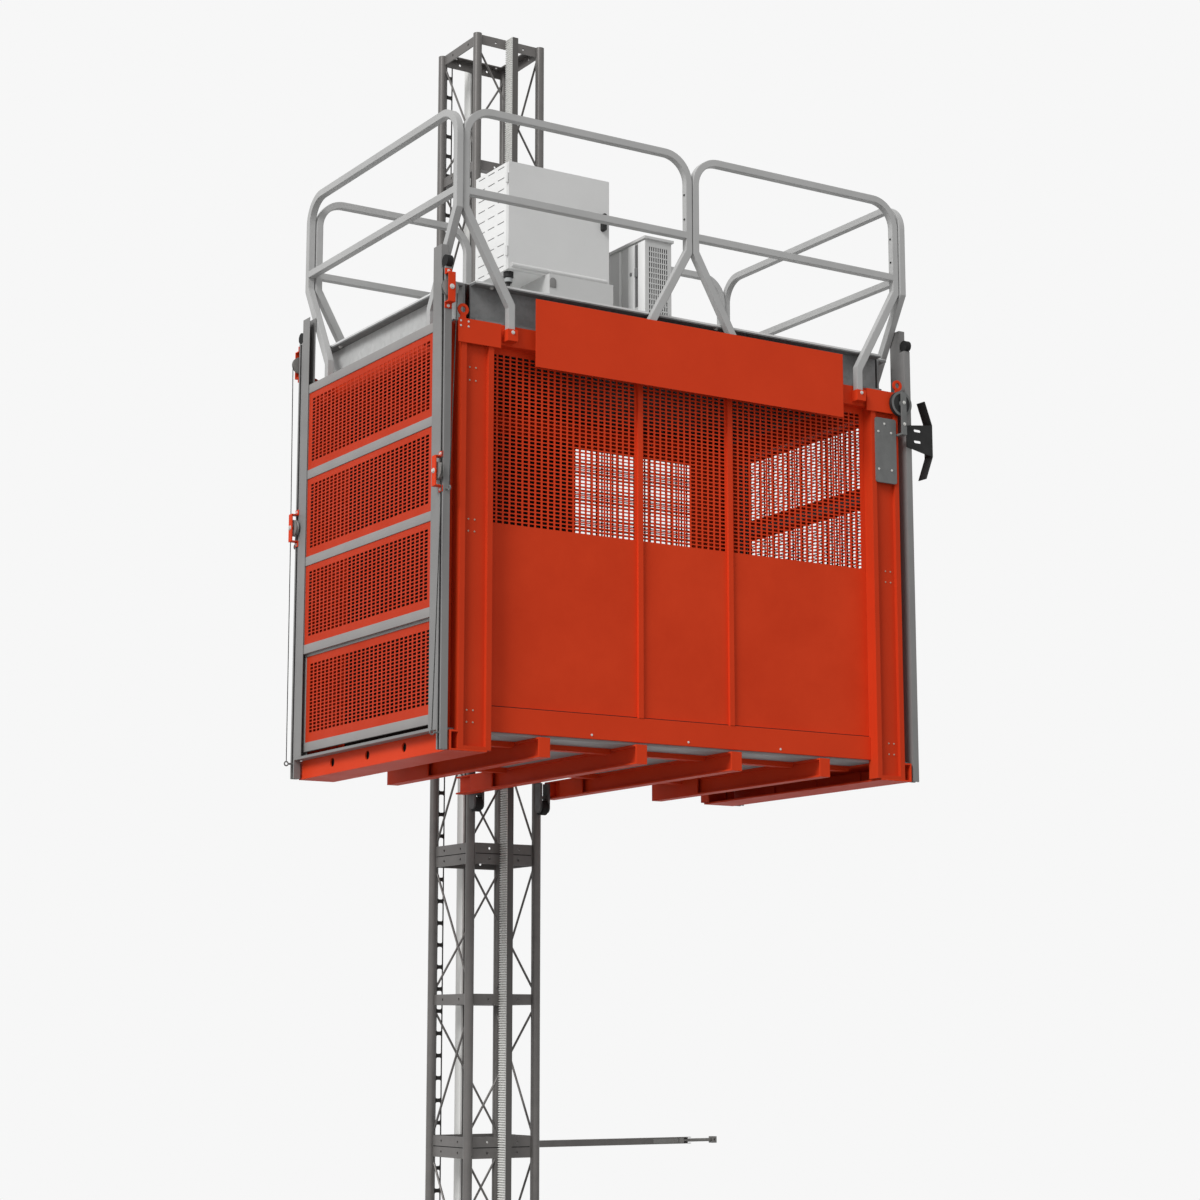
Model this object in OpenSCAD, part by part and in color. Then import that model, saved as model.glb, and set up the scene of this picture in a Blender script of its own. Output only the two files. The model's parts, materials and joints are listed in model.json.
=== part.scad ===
// Material hoist: a car with lift gates climbs a lattice mast on a rack and pinion drive.
// The origin is the centre of the mast at its foot, +Z is up, and the car stands in front of the mast, at -Y.

/* [Mast] */
// Distance between leg centres, both ways
mast_w = 400; // [380:5:420]
// Height of one mast section
section_h = 1508; // [1480:4:1560]
// Diameter of a leg
leg_d = 48.3; // [44:0.1:50]
// Diameter of the socket in the top of a leg
socket_d = 39.3; // [34:0.1:40]
// Depth of that socket
socket_depth = 60; // [30:1:100]
// Height of a frame angle's outer face
angle_h = 55; // [45:1:70]
// Width of a frame angle's inward flange
angle_flange = 50; // [44:1:60]
// Wall of a frame angle
angle_t = 6; // [4:0.5:8]
// Diameter of a diagonal rod
rod_d = 12; // [8:1:16]
// Diameter of a joint bolt
joint_bolt_d = 16; // [10:1:20]
// Width of the slotted strip
strip_w = 40; // [34:1:50]
// Thickness of the slotted strip
strip_t = 6; // [3:0.5:8]
// Windows in the strip of one section
strip_windows = 13; // [8:1:14]

/* [Rack and pinions] */
// Teeth on the rack of one section
rack_teeth = 120; // [116:1:124]
// Width of a rack across the mast face, tooth tips to back
rack_w = 45; // [40:1:50]
// Depth of a rack out from the mast face
rack_depth = 65; // [55:1:70]
// Teeth on a pinion
pinion_teeth = 20; // [18:1:22]
// Face width of a pinion
pinion_w = 54; // [40:1:60]
// Radius of the counter roller behind the rack
counter_r = 35; // [28:1:40]
// Radius of a guide roller
guide_r = 39; // [30:1:45]
// Width of a guide roller
guide_w = 34; // [26:1:40]

/* [Wall tie] */
// Distance of the tie from the mast centre plane
tie_y = 80; // [40:5:120]
// Side of the square tie tube
tie_d = 35; // [30:1:40]
// Length of the tie tube
tie_tube_l = 1108; // [1000:4:1200]
// Length of the spindle beyond the tie tube
tie_rod_l = 143; // [100:1:200]

/* [Car] */
// Width of the car along its long walls
car_w = 2530; // [2450:10:2600]
// Depth of the car
car_d = 1540; // [1480:10:1600]
// Distance from the mast centre to the car
car_gap = 443; // [430:1:460]
// Height of the floor frame above the mast foot
car_z = 3314; // [3200:1:3400]
// Height of the floor beams
beam_h = 91; // [80:1:110]
// Width of a floor beam
beam_w = 60; // [50:1:70]
// Thickness of the floor plate
floor_t = 12; // [6:1:16]
// Height of the walls, floor frame to roof frame
wall_h = 1986; // [1940:1:2040]
// Width of a corner post
post_w = 170; // [150:1:190]
// Depth of a corner post
post_d = 72; // [60:1:80]
// Wall of the folded car steel
fold_t = 6; // [4:0.5:8]
// Thickness of the wall sheets
sheet_t = 3; // [2:0.5:4]
// Height of the kick rails
kick_h = 114; // [90:1:130]
// Height of the top rails
top_rail_h = 97; // [80:1:110]
// Height of the solid lower wall sheet
solid_h = 1061; // [1000:1:1100]
// Height of the roof channels
roof_h = 187; // [160:1:200]
// Width of the bare sign panel
sign_w = 1786; // [1600:10:1800]
// Height of the bare sign panel
sign_h = 325; // [280:5:340]

/* [Guard rails] */
// Side of the square guard rail tube
rail_s = 34; // [28:1:36]
// Height of the top rail above the floor frame
rail_top = 2986; // [2900:2:3040]
// Height of the mid rail above the floor frame
rail_mid = 2586; // [2560:2:2620]
// Height where the legs turn inwards
rail_knee = 2506; // [2480:2:2540]
// Distance by which a leg turns inwards
rail_toe = 245; // [200:5:260]
// Radius of the rail corners
rail_r = 135; // [110:5:160]

/* [Gates] */
// Clear width between the gate posts
gate_w = 1310; // [1260:10:1340]
// Thickness of a gate post
gate_post_t = 35; // [34:0.5:40]
// Width of a gate post
gate_post_w = 75; // [64:1:80]
// Height of a gate post
gate_post_h = 2224; // [2200:2:2280]
// Height of the upper leaf
upper_leaf_h = 1367; // [1340:1:1380]
// Height of the lower leaf
lower_leaf_h = 514; // [500:1:540]
// Thickness of a leaf
leaf_t = 12; // [8:0.5:13]
// Height of the leaf rails
leaf_rail_h = 45; // [36:1:54]
// Radius of the small sheaves
sheave_r = 42; // [36:1:46]
// Radius of the large sheaves
large_sheave_r = 65; // [56:1:70]
// Diameter of the gate ropes
rope_d = 5; // [4:0.5:6]

/* [Roof equipment] */
// Width of the control cabinet
cabinet_w = 588; // [540:4:620]
// Depth of the control cabinet
cabinet_d = 333; // [300:1:360]
// Height of the control cabinet
cabinet_h = 556; // [500:4:580]
// Thickness of the cabinet door
door_t = 22; // [18:1:30]
// Width of the control box
box_w = 158; // [140:2:180]
// Depth of the control box
box_d = 350; // [300:5:380]
// Height of the control box
box_h = 600; // [540:5:620]
// Diameter of the drive motor
motor_d = 190; // [160:5:220]
// Height of the drive motor
motor_h = 330; // [280:5:340]

/* [Hidden] */
$fn = 48;
// Running and seating clearance, and the overrun of every cut
fit = 0.3;
cut = 6;
half_share = 0.5;

// Mast
half_mast = mast_w / 2;
leg_r = leg_d / 2;
face_hole_shares = [0.29, 0.73];
face_hole_d = 14;
joint_bolt_x = 130;
joint_bolt_y = half_mast - angle_t - angle_flange / 2 + angle_t / 2;
joint_hole_d = joint_bolt_d + 2;
hex_width_share = 1.6;
hex_height_share = 0.65;
joint_head_d = joint_bolt_d * hex_width_share;
joint_head_h = joint_bolt_d * hex_height_share;
strip_edge = 5;
strip_window_w = strip_w - 2 * strip_edge;
strip_bar = 20;
strip_corner_r = 8;
strip_x = -half_mast + leg_r + fit;

// Rack and pinions
pitch = section_h / rack_teeth;
tooth_m = pitch / PI;
dedendum_share = 1.25;
pressure = 20;
backlash = 0.5;
pinion_r = pinion_teeth * pitch / (2 * PI);
rack_tip_x = -rack_w / 2;
rack_root_x = rack_tip_x + (1 + dedendum_share) * tooth_m;
pinion_x = rack_tip_x + tooth_m - pinion_r;
pinion_y = -half_mast - (rack_depth + pinion_w) / 2;
flank_steps = 4;
shaft_r = 20;
drive_height = 5900;
safety_height = 4300;
drive_z = round(drive_height / pitch) * pitch;
safety_z = round(safety_height / pitch) * pitch;
counter_x = rack_w / 2 + counter_r + fit;
counter_axle_r = 12;

// Wall tie
tie_z = section_h;
tie_plate_t = 12;
tie_plate_w = 120;
tie_hub = 40;
tie_hole_d = 18;
tie_wall = 3;
tie_bore = tie_d - 2 * tie_wall;
tie_start = half_mast + tie_plate_t + tie_hub;
tie_tube_end = tie_start + tie_tube_l;
tie_slot_l = 249;
tie_sleeve_back = 78;
tie_collar_l = 28;
tie_collar_out = 6;
tie_spindle_d = 18;
tie_eye_l = 30;
tie_eye_d = 12;

// Car
half_w = car_w / 2;
half_d = car_d / 2;
car_y = -car_gap - half_d;
floor_top = beam_h + floor_t;
lip = 28;
inner_beam_x = 270;
outer_beam_x = 796;
beam_t = 8;
beam_front_inset = 45;
beam_back_inset = 16;
beam_front = half_d - beam_front_inset;
beam_back = half_d - beam_back_inset;
long_beam_gap = 18;
long_beam_back = -car_y - half_mast - long_beam_gap;
outer_box_l = 429;
inner_box_l = 224;
inner_box_open = 153;
cross_y = 487;
cross_w = 50;
cross_h = 25;
end_beam_w = 190;
end_hole_d = 44;
end_hole_pitch = 369;
end_hole_first = -338;
end_hole_z = 53;
end_setback = 12;
post_drop = 7;
post_h = wall_h - post_drop;
post_recess = 20;
post_foot_h = 16;
post_in = half_w - post_w;
wall_lap = 4;
wall_y = half_d - post_d + wall_lap;
kick_t = 13;
rib_x = 260;
rear_rib_x = 215;
rib_w = 40;
rib_t = 15;
top_rail_d = 60;
top_rail_inset = 20;
top_rail_y = half_d - top_rail_inset;
head_w = 221;
head_h = 113;
head_t = 8;
head_out = 19;
eye_r = 28;
eye_hole_r = 14;
eye_rise = 40;
eye_inset = 3;
eye_x = half_w - eye_inset;
perf_drop = 133;
perf_top = wall_h - perf_drop;
perf_edge = 40;
slot_w = 68;
slot_h = 30;
slot_pitch_x = 102;
slot_pitch_z = 52.5;
roof_inset_x = 82;
roof_inset_y = 23;
roof_w = car_w - 2 * roof_inset_x;
roof_d = car_d - 2 * roof_inset_y;
roof_side_inset = 1;
roof_side_x = half_w - roof_side_inset;
roof_flange = 60;
roof_t = 11;
roof_plate_t = 4;
sign_t = 4;
sign_drop = 189;
sign_z = wall_h - sign_drop;
sign_bracket_w = 40;
sign_bracket_x = 600;

// Guard rails, with their feet in clamp blocks on the top rails
rail_front_out = 1;
rail_front_y = half_d + rail_front_out;
rail_side_out = 32;
rail_side_x = half_w + rail_side_out;
rail_foot_rise = 85;
rail_foot_top = wall_h + rail_foot_rise;
rail_foot_drop = 65;
rail_foot = wall_h - rail_foot_drop;
front_frame_out = 1258;
front_frame_in = 20;
rear_frame_in = 385;
side_frame_half = 780;
clamp_w = 54;
clamp_h = 55;
clamp_wall = 6;
clamp_below_share = 1 / 3;

// Gates
gate_standoff = 53;
gate_x = half_w + gate_standoff;
end_beam_x = gate_x - end_setback;
gate_out = gate_x + gate_post_t;
half_gate = gate_w / 2;
gate_wall = 2.5;
gate_foot = 2;
leaf_play = 1;
upper_leaf_x = gate_out - gate_wall - leaf_play - leaf_t;
lower_leaf_x = gate_x + gate_wall + leaf_play;
tongue_room = 15;
leaf_tongue = gate_post_w - tongue_room;
leaf_panel_t = 4;
lower_stile = 35;
sill_in = 40;
sill_t = 13;
sill_top = beam_h + sill_t;
leaf_gap = 22;
leaf_low = sill_top + leaf_gap;
leaf_lap = 13;
upper_leaf_z = leaf_low + lower_leaf_h - leaf_rail_h + leaf_lap;
stop_h = 40;
rope_rail_w = 40;
rope_rail_t = 3;
rope_rail_gap = 9;
buffer_r = 28;
buffer_w = 30;
buffer_rise = 255;
buffer_z = wall_h + buffer_rise;
rope_rail_top = buffer_z - buffer_r - fit;
rope_rail_y = half_gate + gate_post_w;
post_bracket_heights_share = [0.16, 0.5, 0.82];
post_bracket_h = 60;
post_bracket_w = 20;
post_bracket_in = 20;
top_sheave_rise = 121;
top_sheave_z = wall_h + top_sheave_rise;
side_sheave_z = 1255;
sheave_w = 16;
sheave_bore_r = 8;
groove_r = 5;
sheave_gap = 9;
strap_w = 36;
strap_h = 140;
strap_t = 5;
top_sheave_in = 14;
top_sheave_x = gate_out - top_sheave_in;
top_sheave_y = rope_rail_y + rope_rail_w + sheave_gap + sheave_w / 2;
side_sheave_x = gate_out + sheave_gap + sheave_w / 2;
side_sheave_y = rope_rail_y + rope_rail_w / 2;
rope_r = rope_d / 2;
rope_track = sheave_r - groove_r + rope_r + fit;
eye_bolt_d = 10;
eye_bolt_l = 22;
eye_bolt_z = 75;
eye_wire_r = eye_bolt_d / 3;
eye_loop = eye_bolt_d + eye_wire_r + fit;
upper_eye_z = 1173;

// Right end
large_sheave_out = 1;
large_sheave_x = half_w + large_sheave_out;
large_sheave_drop = 67;
large_sheave_z = wall_h - large_sheave_drop;
large_sheave_front = 24;
large_sheave_y = half_d + large_sheave_front;
large_sheave_w = 20;
large_hub_r = 16;
bar_w = 30;
bar_h = 220;
bar_t = 10;
bar_drop_share = 0.75;
cover_w = 132;
cover_h = 335;
cover_t = 8;
cover_r = 12;
cover_drop = 484;
cover_z = wall_h - cover_drop;
cam_t = 6;
cam_reach = 127;
cam_plate_h = 165;
cam_drop = 311;
cam_plate_z = wall_h - cam_drop;
cam_root_shares = [0.2, 0.125];
cam_strip_w = 60;
cam_wing = 120;
cam_wing_lean = 45;
cam_slot_l = 46;
cam_slot_d = 14;
cam_slot_shares = [0.4, 0.75];
cam_slot_x_share = 0.75;
slot_corner_share = 0.49;

// Roof equipment
roof_top = wall_h + roof_h + roof_plate_t;
roof_web_y = car_y + roof_d / 2 - roof_flange + roof_t;
cabinet_x = -664;
cabinet_forward = 147;
cabinet_front = -cabinet_forward;
plinth_h = 307;
cabinet_z = roof_top + plinth_h;
cabinet_wall = 3;
door_gap = 0.5;
plinth_w = 375;
plinth_d = 360;
plinth_out = 40;
plinth_front = cabinet_front - plinth_out;
plinth_t = 4;
plinth_leg = 40;
knuckle_d = 14;
knuckle_in = 1;
knuckle_out = knuckle_d / 2 - knuckle_in;
knuckle_l = 50;
knuckle_shares = [0.12, 0.8];
knob_l = 90;
knob_w = 22;
knob_h = 26;
knob_stem_r = 9;
knob_in = 40;
knob_z = 330;
knob_corner_share = 0.4;
gland_radii = [25, 17.5, 10];
gland_heights = [28, 28, 12];
gland_in = 33;
box_x = 118;
box_forward = 187;
box_front = -box_forward;
box_lid_h = 14;
box_lid_over = 10;
grille_cols = 9;
grille_rows = 20;
box_wall = 4;
grille_edge = 20;
grille_bar = 6;
machine_w = 320;
machine_t = 20;
machine_y = -300;
machine_arm_t = 12;
machine_arm_x = 150;
gearbox_w = 230;
gearbox_d = 180;
gearbox_h = 240;
machine_top = drive_z + gearbox_h / 2 - car_z;
gearbox_r = 30;
motor_rib = 8;
motor_ribs = 9;
motor_rib_share = 0.6;
motor_cap_shares = [0.7, 0.27];
safety_plate_w = 600;
safety_plate_h = 260;
safety_plate_t = 12;
safety_r = 90;
safety_l = 190;
safety_drum_share = 0.7;
safety_cap_r = 60;

// Guides
guide_y = -half_mast - leg_r - guide_r - fit;
guide_low = -49;
guide_rise = 94;
guide_high = wall_h + guide_rise;
guide_axle_r = 10;
fork_t = 12;
fork_play = 1;
fork_nose = 28;
fork_head = 128;
fork_outer = half_mast + guide_w / 2 + fork_play + fork_t;
spacer_r = 9;
spacer_gap = 5;
guide_block_gap = 2;
hook_t = 12;
hook_reach = 24;
hook_tip = 18;
hook_clear = 7;

// Colours
red = "#c8421f";
galvanised = "#969694";
mast_grey = "#84847f";
rail_grey = "#c8c8c8";
white_paint = "#d8d8d6";
black = "#202020";
steel = "#8d8f91";

// Placing

// Puts its children at the car's rest place, with the origin in the middle of the underside of its floor frame
module in_car() {
    translate([0, car_y, car_z]) children();
}

module both_ends() {
    children();
    mirror([1, 0, 0]) children();
}

module both_walls() {
    children();
    mirror([0, 1, 0]) children();
}

module four_corners() {
    both_ends() both_walls() children();
}

// An outline in X and Z, drawn through the thickness from y towards -Y
module upright(y, thickness) {
    translate([0, y, 0]) rotate([90, 0, 0]) linear_extrude(thickness) children();
}

// A bar with a profile in X and Z that runs along Y from y0 to y1
module along_y(y0, y1) {
    translate([0, y1, 0]) rotate([90, 0, 0]) linear_extrude(y1 - y0) children();
}

// A bar with a profile in Y and Z that runs along X from x0 to x1
module along_x(x0, x1) {
    translate([x0, 0, 0]) rotate([90, 0, 90]) linear_extrude(x1 - x0) children();
}

// A cylinder along Y, from y0 to y1
module pin_y(y0, y1, r) {
    translate([0, y1, 0]) rotate([90, 0, 0]) cylinder(h = y1 - y0, r = r);
}

// A cylinder along X, from x0 to x1
module pin_x(x0, x1, r) {
    translate([x0, 0, 0]) rotate([0, 90, 0]) cylinder(h = x1 - x0, r = r);
}

// A straight round bar between two points
module bar_between(a, b, d) {
    v = b - a;
    flat = norm([v[0], v[1]]);
    translate(a) rotate([0, atan2(flat, v[2]), atan2(v[1], v[0])]) cylinder(h = norm(v), d = d, $fn = 24);
}

// A rectangle with round corners, centred
module rounded(w, h, r) {
    square([w - 2 * r, h], center = true);
    square([w, h - 2 * r], center = true);
    for (x = [-1, 1], y = [-1, 1]) translate([x * (w / 2 - r), y * (h / 2 - r)]) circle(r);
}

// Slots in an upright sheet between x0 and x1, z0 and z1, as many as fit
module slots(x0, x1, z0, z1, y, depth) {
    cols = floor((x1 - x0) / slot_pitch_x);
    rows = floor((z1 - z0) / slot_pitch_z);
    left = (x0 + x1 - cols * slot_pitch_x + slot_pitch_x - slot_w) / 2;
    low = (z0 + z1 - rows * slot_pitch_z + slot_pitch_z - slot_h) / 2;
    for (c = [0 : cols - 1], r = [0 : rows - 1])
        translate([left + c * slot_pitch_x, y - depth / 2, low + r * slot_pitch_z])
            cube([slot_w, depth, slot_h]);
}

// Mast

module at_legs() {
    for (sx = [-1, 1], sy = [-1, 1]) translate([sx * half_mast, sy * half_mast, 0]) children();
}

module leg_room() {
    at_legs() translate([0, 0, -cut]) cylinder(h = section_h + 2 * cut, r = leg_r + fit);
}

module leg() {
    difference() {
        cylinder(h = section_h, r = leg_r);
        translate([0, 0, section_h - socket_depth]) cylinder(h = socket_depth + cut, d = socket_d);
    }
}

// One side of a frame: an angle with its corners mitred, cut round the legs
module frame_angle(bolted) {
    inner = half_mast - angle_flange;
    difference() {
        union() {
            translate([-half_mast, -half_mast, 0]) cube([mast_w, angle_t, angle_h]);
            linear_extrude(angle_t)
                polygon([[fit - half_mast, -half_mast], [half_mast - fit, -half_mast],
                    [inner - fit, -inner], [fit - inner, -inner]]);
        }
        leg_room();
        for (share = face_hole_shares) translate([(share - half_share) * mast_w, 0, angle_h / 2])
            pin_y(-half_mast - cut, -half_mast + angle_t + cut, face_hole_d / 2);
        if (bolted) for (s = [-1, 1]) translate([s * joint_bolt_x, -joint_bolt_y, -cut])
            cylinder(h = angle_t + 2 * cut, d = joint_hole_d);
    }
}

module frame_ring(bolted) {
    for (turn = [0 : 3]) rotate(turn * 90) frame_angle(bolted && turn % 2 == 0);
}

// A diagonal of the front face, from the left leg to the right one, inside the frame angles
module face_rod(z_left, z_right) {
    y = -half_mast + angle_t + rod_d / 2 + fit;
    difference() {
        bar_between([-half_mast, y, z_left], [half_mast, y, z_right], rod_d);
        leg_room();
    }
}

module mast_section(index) {
    middle = section_h / 2;
    node_gap = angle_h / 2 + rod_d;
    color(mast_grey) translate([0, 0, index * section_h]) {
        at_legs() leg();
        frame_ring(true);
        translate([0, 0, middle - angle_h / 2]) frame_ring(false);
        translate([0, 0, section_h]) mirror([0, 0, 1]) frame_ring(true);
        for (turn = [0 : 3]) rotate(turn * 90) {
            face_rod(angle_h, middle - node_gap);
            face_rod(section_h - angle_h, middle + node_gap);
        }
    }
}

module mast_section_1() { mast_section(0); }
module mast_section_2() { mast_section(1); }
module mast_section_3() { mast_section(2); }
module mast_section_4() { mast_section(3); }
module mast_section_5() { mast_section(4); }

// The four corners of a rack tooth, from below upwards
function rack_tooth(i) =
    let (z = (i + half_share) * pitch,
         at_pitch = pitch / 4 - backlash / 4,
         root = at_pitch + dedendum_share * tooth_m * tan(pressure),
         tip = at_pitch - tooth_m * tan(pressure))
    [[rack_root_x, z - root], [rack_tip_x, z - tip], [rack_tip_x, z + tip], [rack_root_x, z + root]];

module rack_bar() {
    upright(-half_mast, rack_depth)
        polygon(concat([[rack_root_x, section_h - fit], [rack_w / 2, section_h - fit], [rack_w / 2, fit],
            [rack_root_x, fit]], [for (i = [0 : rack_teeth - 1]) each rack_tooth(i)]));
}

module racks() {
    color(steel) for (index = [0 : 4], turn = [0, 180])
        translate([0, 0, index * section_h]) rotate(turn) rack_bar();
}

module slotted_strip() {
    window_pitch = section_h / strip_windows;
    color(mast_grey) for (index = [0 : 4]) translate([0, half_mast + strip_t, index * section_h])
        difference() {
            translate([strip_x, -strip_t, fit]) cube([strip_w, strip_t, section_h - 2 * fit]);
            for (i = [0 : strip_windows - 1])
                translate([strip_x + strip_w / 2, 0, (i + half_share) * window_pitch])
                    upright(cut, strip_t + 2 * cut)
                        rounded(strip_window_w, window_pitch - strip_bar, strip_corner_r);
        }
}

module mast_bolts() {
    color(steel) for (index = [1 : 4], sx = [-1, 1], sy = [-1, 1])
        translate([sx * joint_bolt_x, sy * joint_bolt_y, index * section_h]) {
            translate([0, 0, -angle_t - joint_head_h]) cylinder(h = joint_head_h, d = joint_head_d, $fn = 6);
            translate([0, 0, -angle_t - cut]) cylinder(h = 2 * angle_t + 2 * cut, d = joint_bolt_d);
            translate([0, 0, angle_t]) cylinder(h = joint_head_h, d = joint_head_d, $fn = 6);
        }
}

// Wall tie

// A square tube on a bolted plate, open at the side near its end
module wall_tie() {
    color(mast_grey) translate([0, tie_y, tie_z]) {
        difference() {
            translate([half_mast, -tie_plate_w / 2, -angle_h]) cube([tie_plate_t, tie_plate_w, 2 * angle_h]);
            for (y = [-1, 1], z = [-1, 1])
                translate([0, y * (tie_plate_w / 2 - tie_hole_d), z * angle_h / 2])
                    pin_x(half_mast - cut, half_mast + tie_plate_t + cut, tie_hole_d / 2);
        }
        difference() {
            union() {
                pin_x(half_mast + tie_plate_t, tie_start, (tie_d + tie_plate_t) / 2);
                along_x(tie_start, tie_tube_end) square(tie_d, center = true);
            }
            along_x(tie_start + tie_tube_l / 2, tie_tube_end + cut) square(tie_bore, center = true);
            translate([tie_tube_end - tie_slot_l, -tie_d, -tie_bore / 2])
                cube([tie_slot_l + cut, tie_d, tie_bore]);
        }
    }
}

// The sleeve in the tie tube with its collar, the spindle and the eye block that a wall bracket takes
module wall_tie_end() {
    sleeve_end = tie_tube_end - tie_sleeve_back;
    rod_end = tie_tube_end + tie_rod_l;
    half = tie_bore / 2 - fit;
    color(steel) translate([0, tie_y, tie_z]) {
        along_x(tie_tube_end - 2 * tie_slot_l, sleeve_end) square(2 * half, center = true);
        translate([sleeve_end, -half - tie_collar_out, -half])
            cube([tie_collar_l, 2 * half + tie_collar_out, 2 * half]);
        pin_x(sleeve_end + tie_collar_l, rod_end, tie_spindle_d / 2);
        difference() {
            translate([rod_end, -tie_d / 2, -tie_d / 2]) cube([tie_eye_l, tie_d, tie_d]);
            translate([rod_end + tie_eye_l / 2, 0, 0]) pin_y(-tie_d, tie_d, tie_eye_d / 2);
        }
    }
}

// Car frame

// An I section floor beam from y0 to y1, with an end plate at its front
module floor_beam(x, y0, y1) {
    translate([x, 0, 0]) {
        along_y(y0, y1) {
            translate([-beam_w / 2, 0]) square([beam_w, beam_t]);
            translate([-beam_t / 2, 0]) square([beam_t, beam_h]);
            translate([-beam_w / 2, beam_h - beam_t]) square([beam_w, beam_t]);
        }
        translate([-beam_w / 2, y0 - beam_t, 0]) cube([beam_w, beam_t, beam_h]);
    }
}

// Plates that close the sides of a floor beam from y0 to y1
module beam_box(x, y0, y1) {
    for (side = [x - beam_w / 2, x + beam_w / 2 - beam_t])
        translate([side, y0, beam_t]) cube([beam_t, y1 - y0, beam_h - 2 * beam_t]);
}

// A bar under the floor plate between two beams
module floor_cross(x0, x1) {
    both_walls() translate([x0 + fit, cross_y - cross_w / 2, beam_h - cross_h])
        cube([x1 - x0 - 2 * fit, cross_w, cross_h]);
}

// Two short and two long beams, the bars between them and the blocks that hold the lower guides
module floor_beams() {
    box_back = long_beam_back - inner_box_open;
    block_low = beam_t + guide_block_gap;
    edge = beam_w / 2;
    color(red) in_car() {
        both_ends() {
            floor_beam(outer_beam_x, -beam_front, beam_back);
            beam_box(outer_beam_x, beam_back - outer_box_l, beam_back);
            floor_beam(inner_beam_x, -beam_front, long_beam_back);
            beam_box(inner_beam_x, box_back - inner_box_l, box_back);
            translate([fork_outer, guide_y - fork_nose - car_y, block_low])
                cube([inner_beam_x - beam_t / 2 - fork_outer, 2 * fork_nose, beam_h - 2 * block_low]);
            floor_cross(inner_beam_x + edge, outer_beam_x - edge);
            floor_cross(outer_beam_x + edge, end_beam_x - end_beam_w);
        }
        floor_cross(edge - inner_beam_x, inner_beam_x - edge);
    }
}

// Channels across the ends of the floor, open inwards, with three round holes; the posts stand on them
module end_beams() {
    inner = end_beam_x - end_beam_w;
    length = half_d - post_d - fit;
    color(red) in_car() both_ends() difference() {
        union() {
            along_y(-half_d, half_d) {
                translate([inner, 0]) square([end_beam_w, beam_t]);
                translate([end_beam_x - beam_t, 0]) square([beam_t, beam_h]);
                translate([half_w + fit, beam_h - beam_t]) square([end_beam_x - half_w - fit, beam_t]);
            }
            along_y(-length, length) translate([inner, beam_h - beam_t]) square([end_beam_w, beam_t]);
        }
        for (i = [0 : 2]) translate([0, end_hole_first + i * end_hole_pitch, end_hole_z])
            pin_x(end_beam_x - beam_t - cut, end_beam_x + cut, end_hole_d / 2);
    }
}

module floor_plate() {
    depth = half_d - post_d - fit;
    reach = half_w - sill_in - fit;
    color(galvanised) in_car() translate([-reach, -depth, beam_h]) cube([2 * reach, 2 * depth, floor_t]);
}

// Folded posts with a shallow recess in the outer face, and the brackets behind them for the gate posts
module corner_posts() {
    web_w = post_w - 2 * lip;
    bracket_y = half_d - post_d - fit - post_bracket_w;
    bracket_l = post_bracket_in + gate_standoff - fit;
    color(red) in_car() four_corners() {
        translate([-half_w, -half_d, beam_t]) {
            linear_extrude(post_h - beam_t) {
                for (x = [0, post_w - lip]) translate([x, 0]) square([lip, fold_t]);
                for (x = [0, post_w - fold_t]) translate([x, 0]) square([fold_t, post_d]);
                for (x = [lip - fold_t, post_w - lip]) translate([x, 0]) square([fold_t, post_recess + fold_t]);
                translate([lip, post_recess]) square([web_w, fold_t]);
            }
            translate([lip, 0, 0]) cube([web_w, post_recess, post_foot_h]);
        }
        for (share = post_bracket_heights_share)
            translate([half_w - post_bracket_in, bracket_y, share * wall_h])
                cube([bracket_l, post_bracket_w, post_bracket_h]);
    }
}

// Plates over the post heads, each with a lifting eye
module head_plates() {
    top = post_h;
    color(red) in_car() four_corners() upright(-half_d, head_t) difference() {
        union() {
            translate([-half_w - head_out, top - head_h]) square([head_w, head_h]);
            translate([-eye_x - eye_r / 2, top]) square([eye_r, eye_rise]);
            translate([-eye_x, top + eye_rise]) circle(eye_r);
        }
        translate([-eye_x, top + eye_rise]) circle(eye_hole_r);
    }
}

// A folded top rail, its back at 0 and open towards the inside of the car
module top_rail_profile() {
    square([fold_t, top_rail_h]);
    square([top_rail_d, fold_t]);
    translate([0, top_rail_h - fold_t]) square([top_rail_d, fold_t]);
}

// Kick rails, top rails and the cover ribs of the long walls, and the top rails of the ends
module wall_frame() {
    rail_in = post_in - fit;
    end_in = half_d - post_d;
    rib_low = floor_top + kick_h + fit;
    rib_high = wall_h - top_rail_h - fit;
    color(red) in_car() {
        both_walls() {
            translate([-rail_in, -wall_y - kick_t, floor_top]) cube([2 * rail_in, kick_t, kick_h]);
            along_x(-rail_in, rail_in) translate([-top_rail_y, wall_h - top_rail_h]) top_rail_profile();
        }
        both_ends() {
            translate([rib_x - rib_w / 2, -wall_y - rib_t, rib_low]) cube([rib_w, rib_t, rib_high - rib_low]);
            translate([rear_rib_x - rib_w / 2, wall_y, rib_low]) cube([rib_w, rib_t, rib_high - rib_low]);
        }
        both_ends() along_y(-end_in, end_in) translate([-half_w, wall_h - top_rail_h]) top_rail_profile();
    }
}

// An upright wall sheet between x0 and x1, slotted above the solid part where asked
module wall_sheet(x0, x1, slotted) {
    top = wall_h - top_rail_h;
    difference() {
        translate([x0 + fit / 2, -wall_y, floor_top]) cube([x1 - x0 - fit, sheet_t, top - floor_top]);
        if (slotted) slots(x0 + perf_edge, x1 - perf_edge, solid_h, perf_top, -wall_y, 2 * cut);
    }
}

module front_panels() {
    edge = post_in - fold_t / 2;
    color(red) in_car() {
        wall_sheet(-edge, -rib_x, true);
        wall_sheet(-rib_x, rib_x, true);
        wall_sheet(rib_x, edge, true);
    }
}

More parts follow.
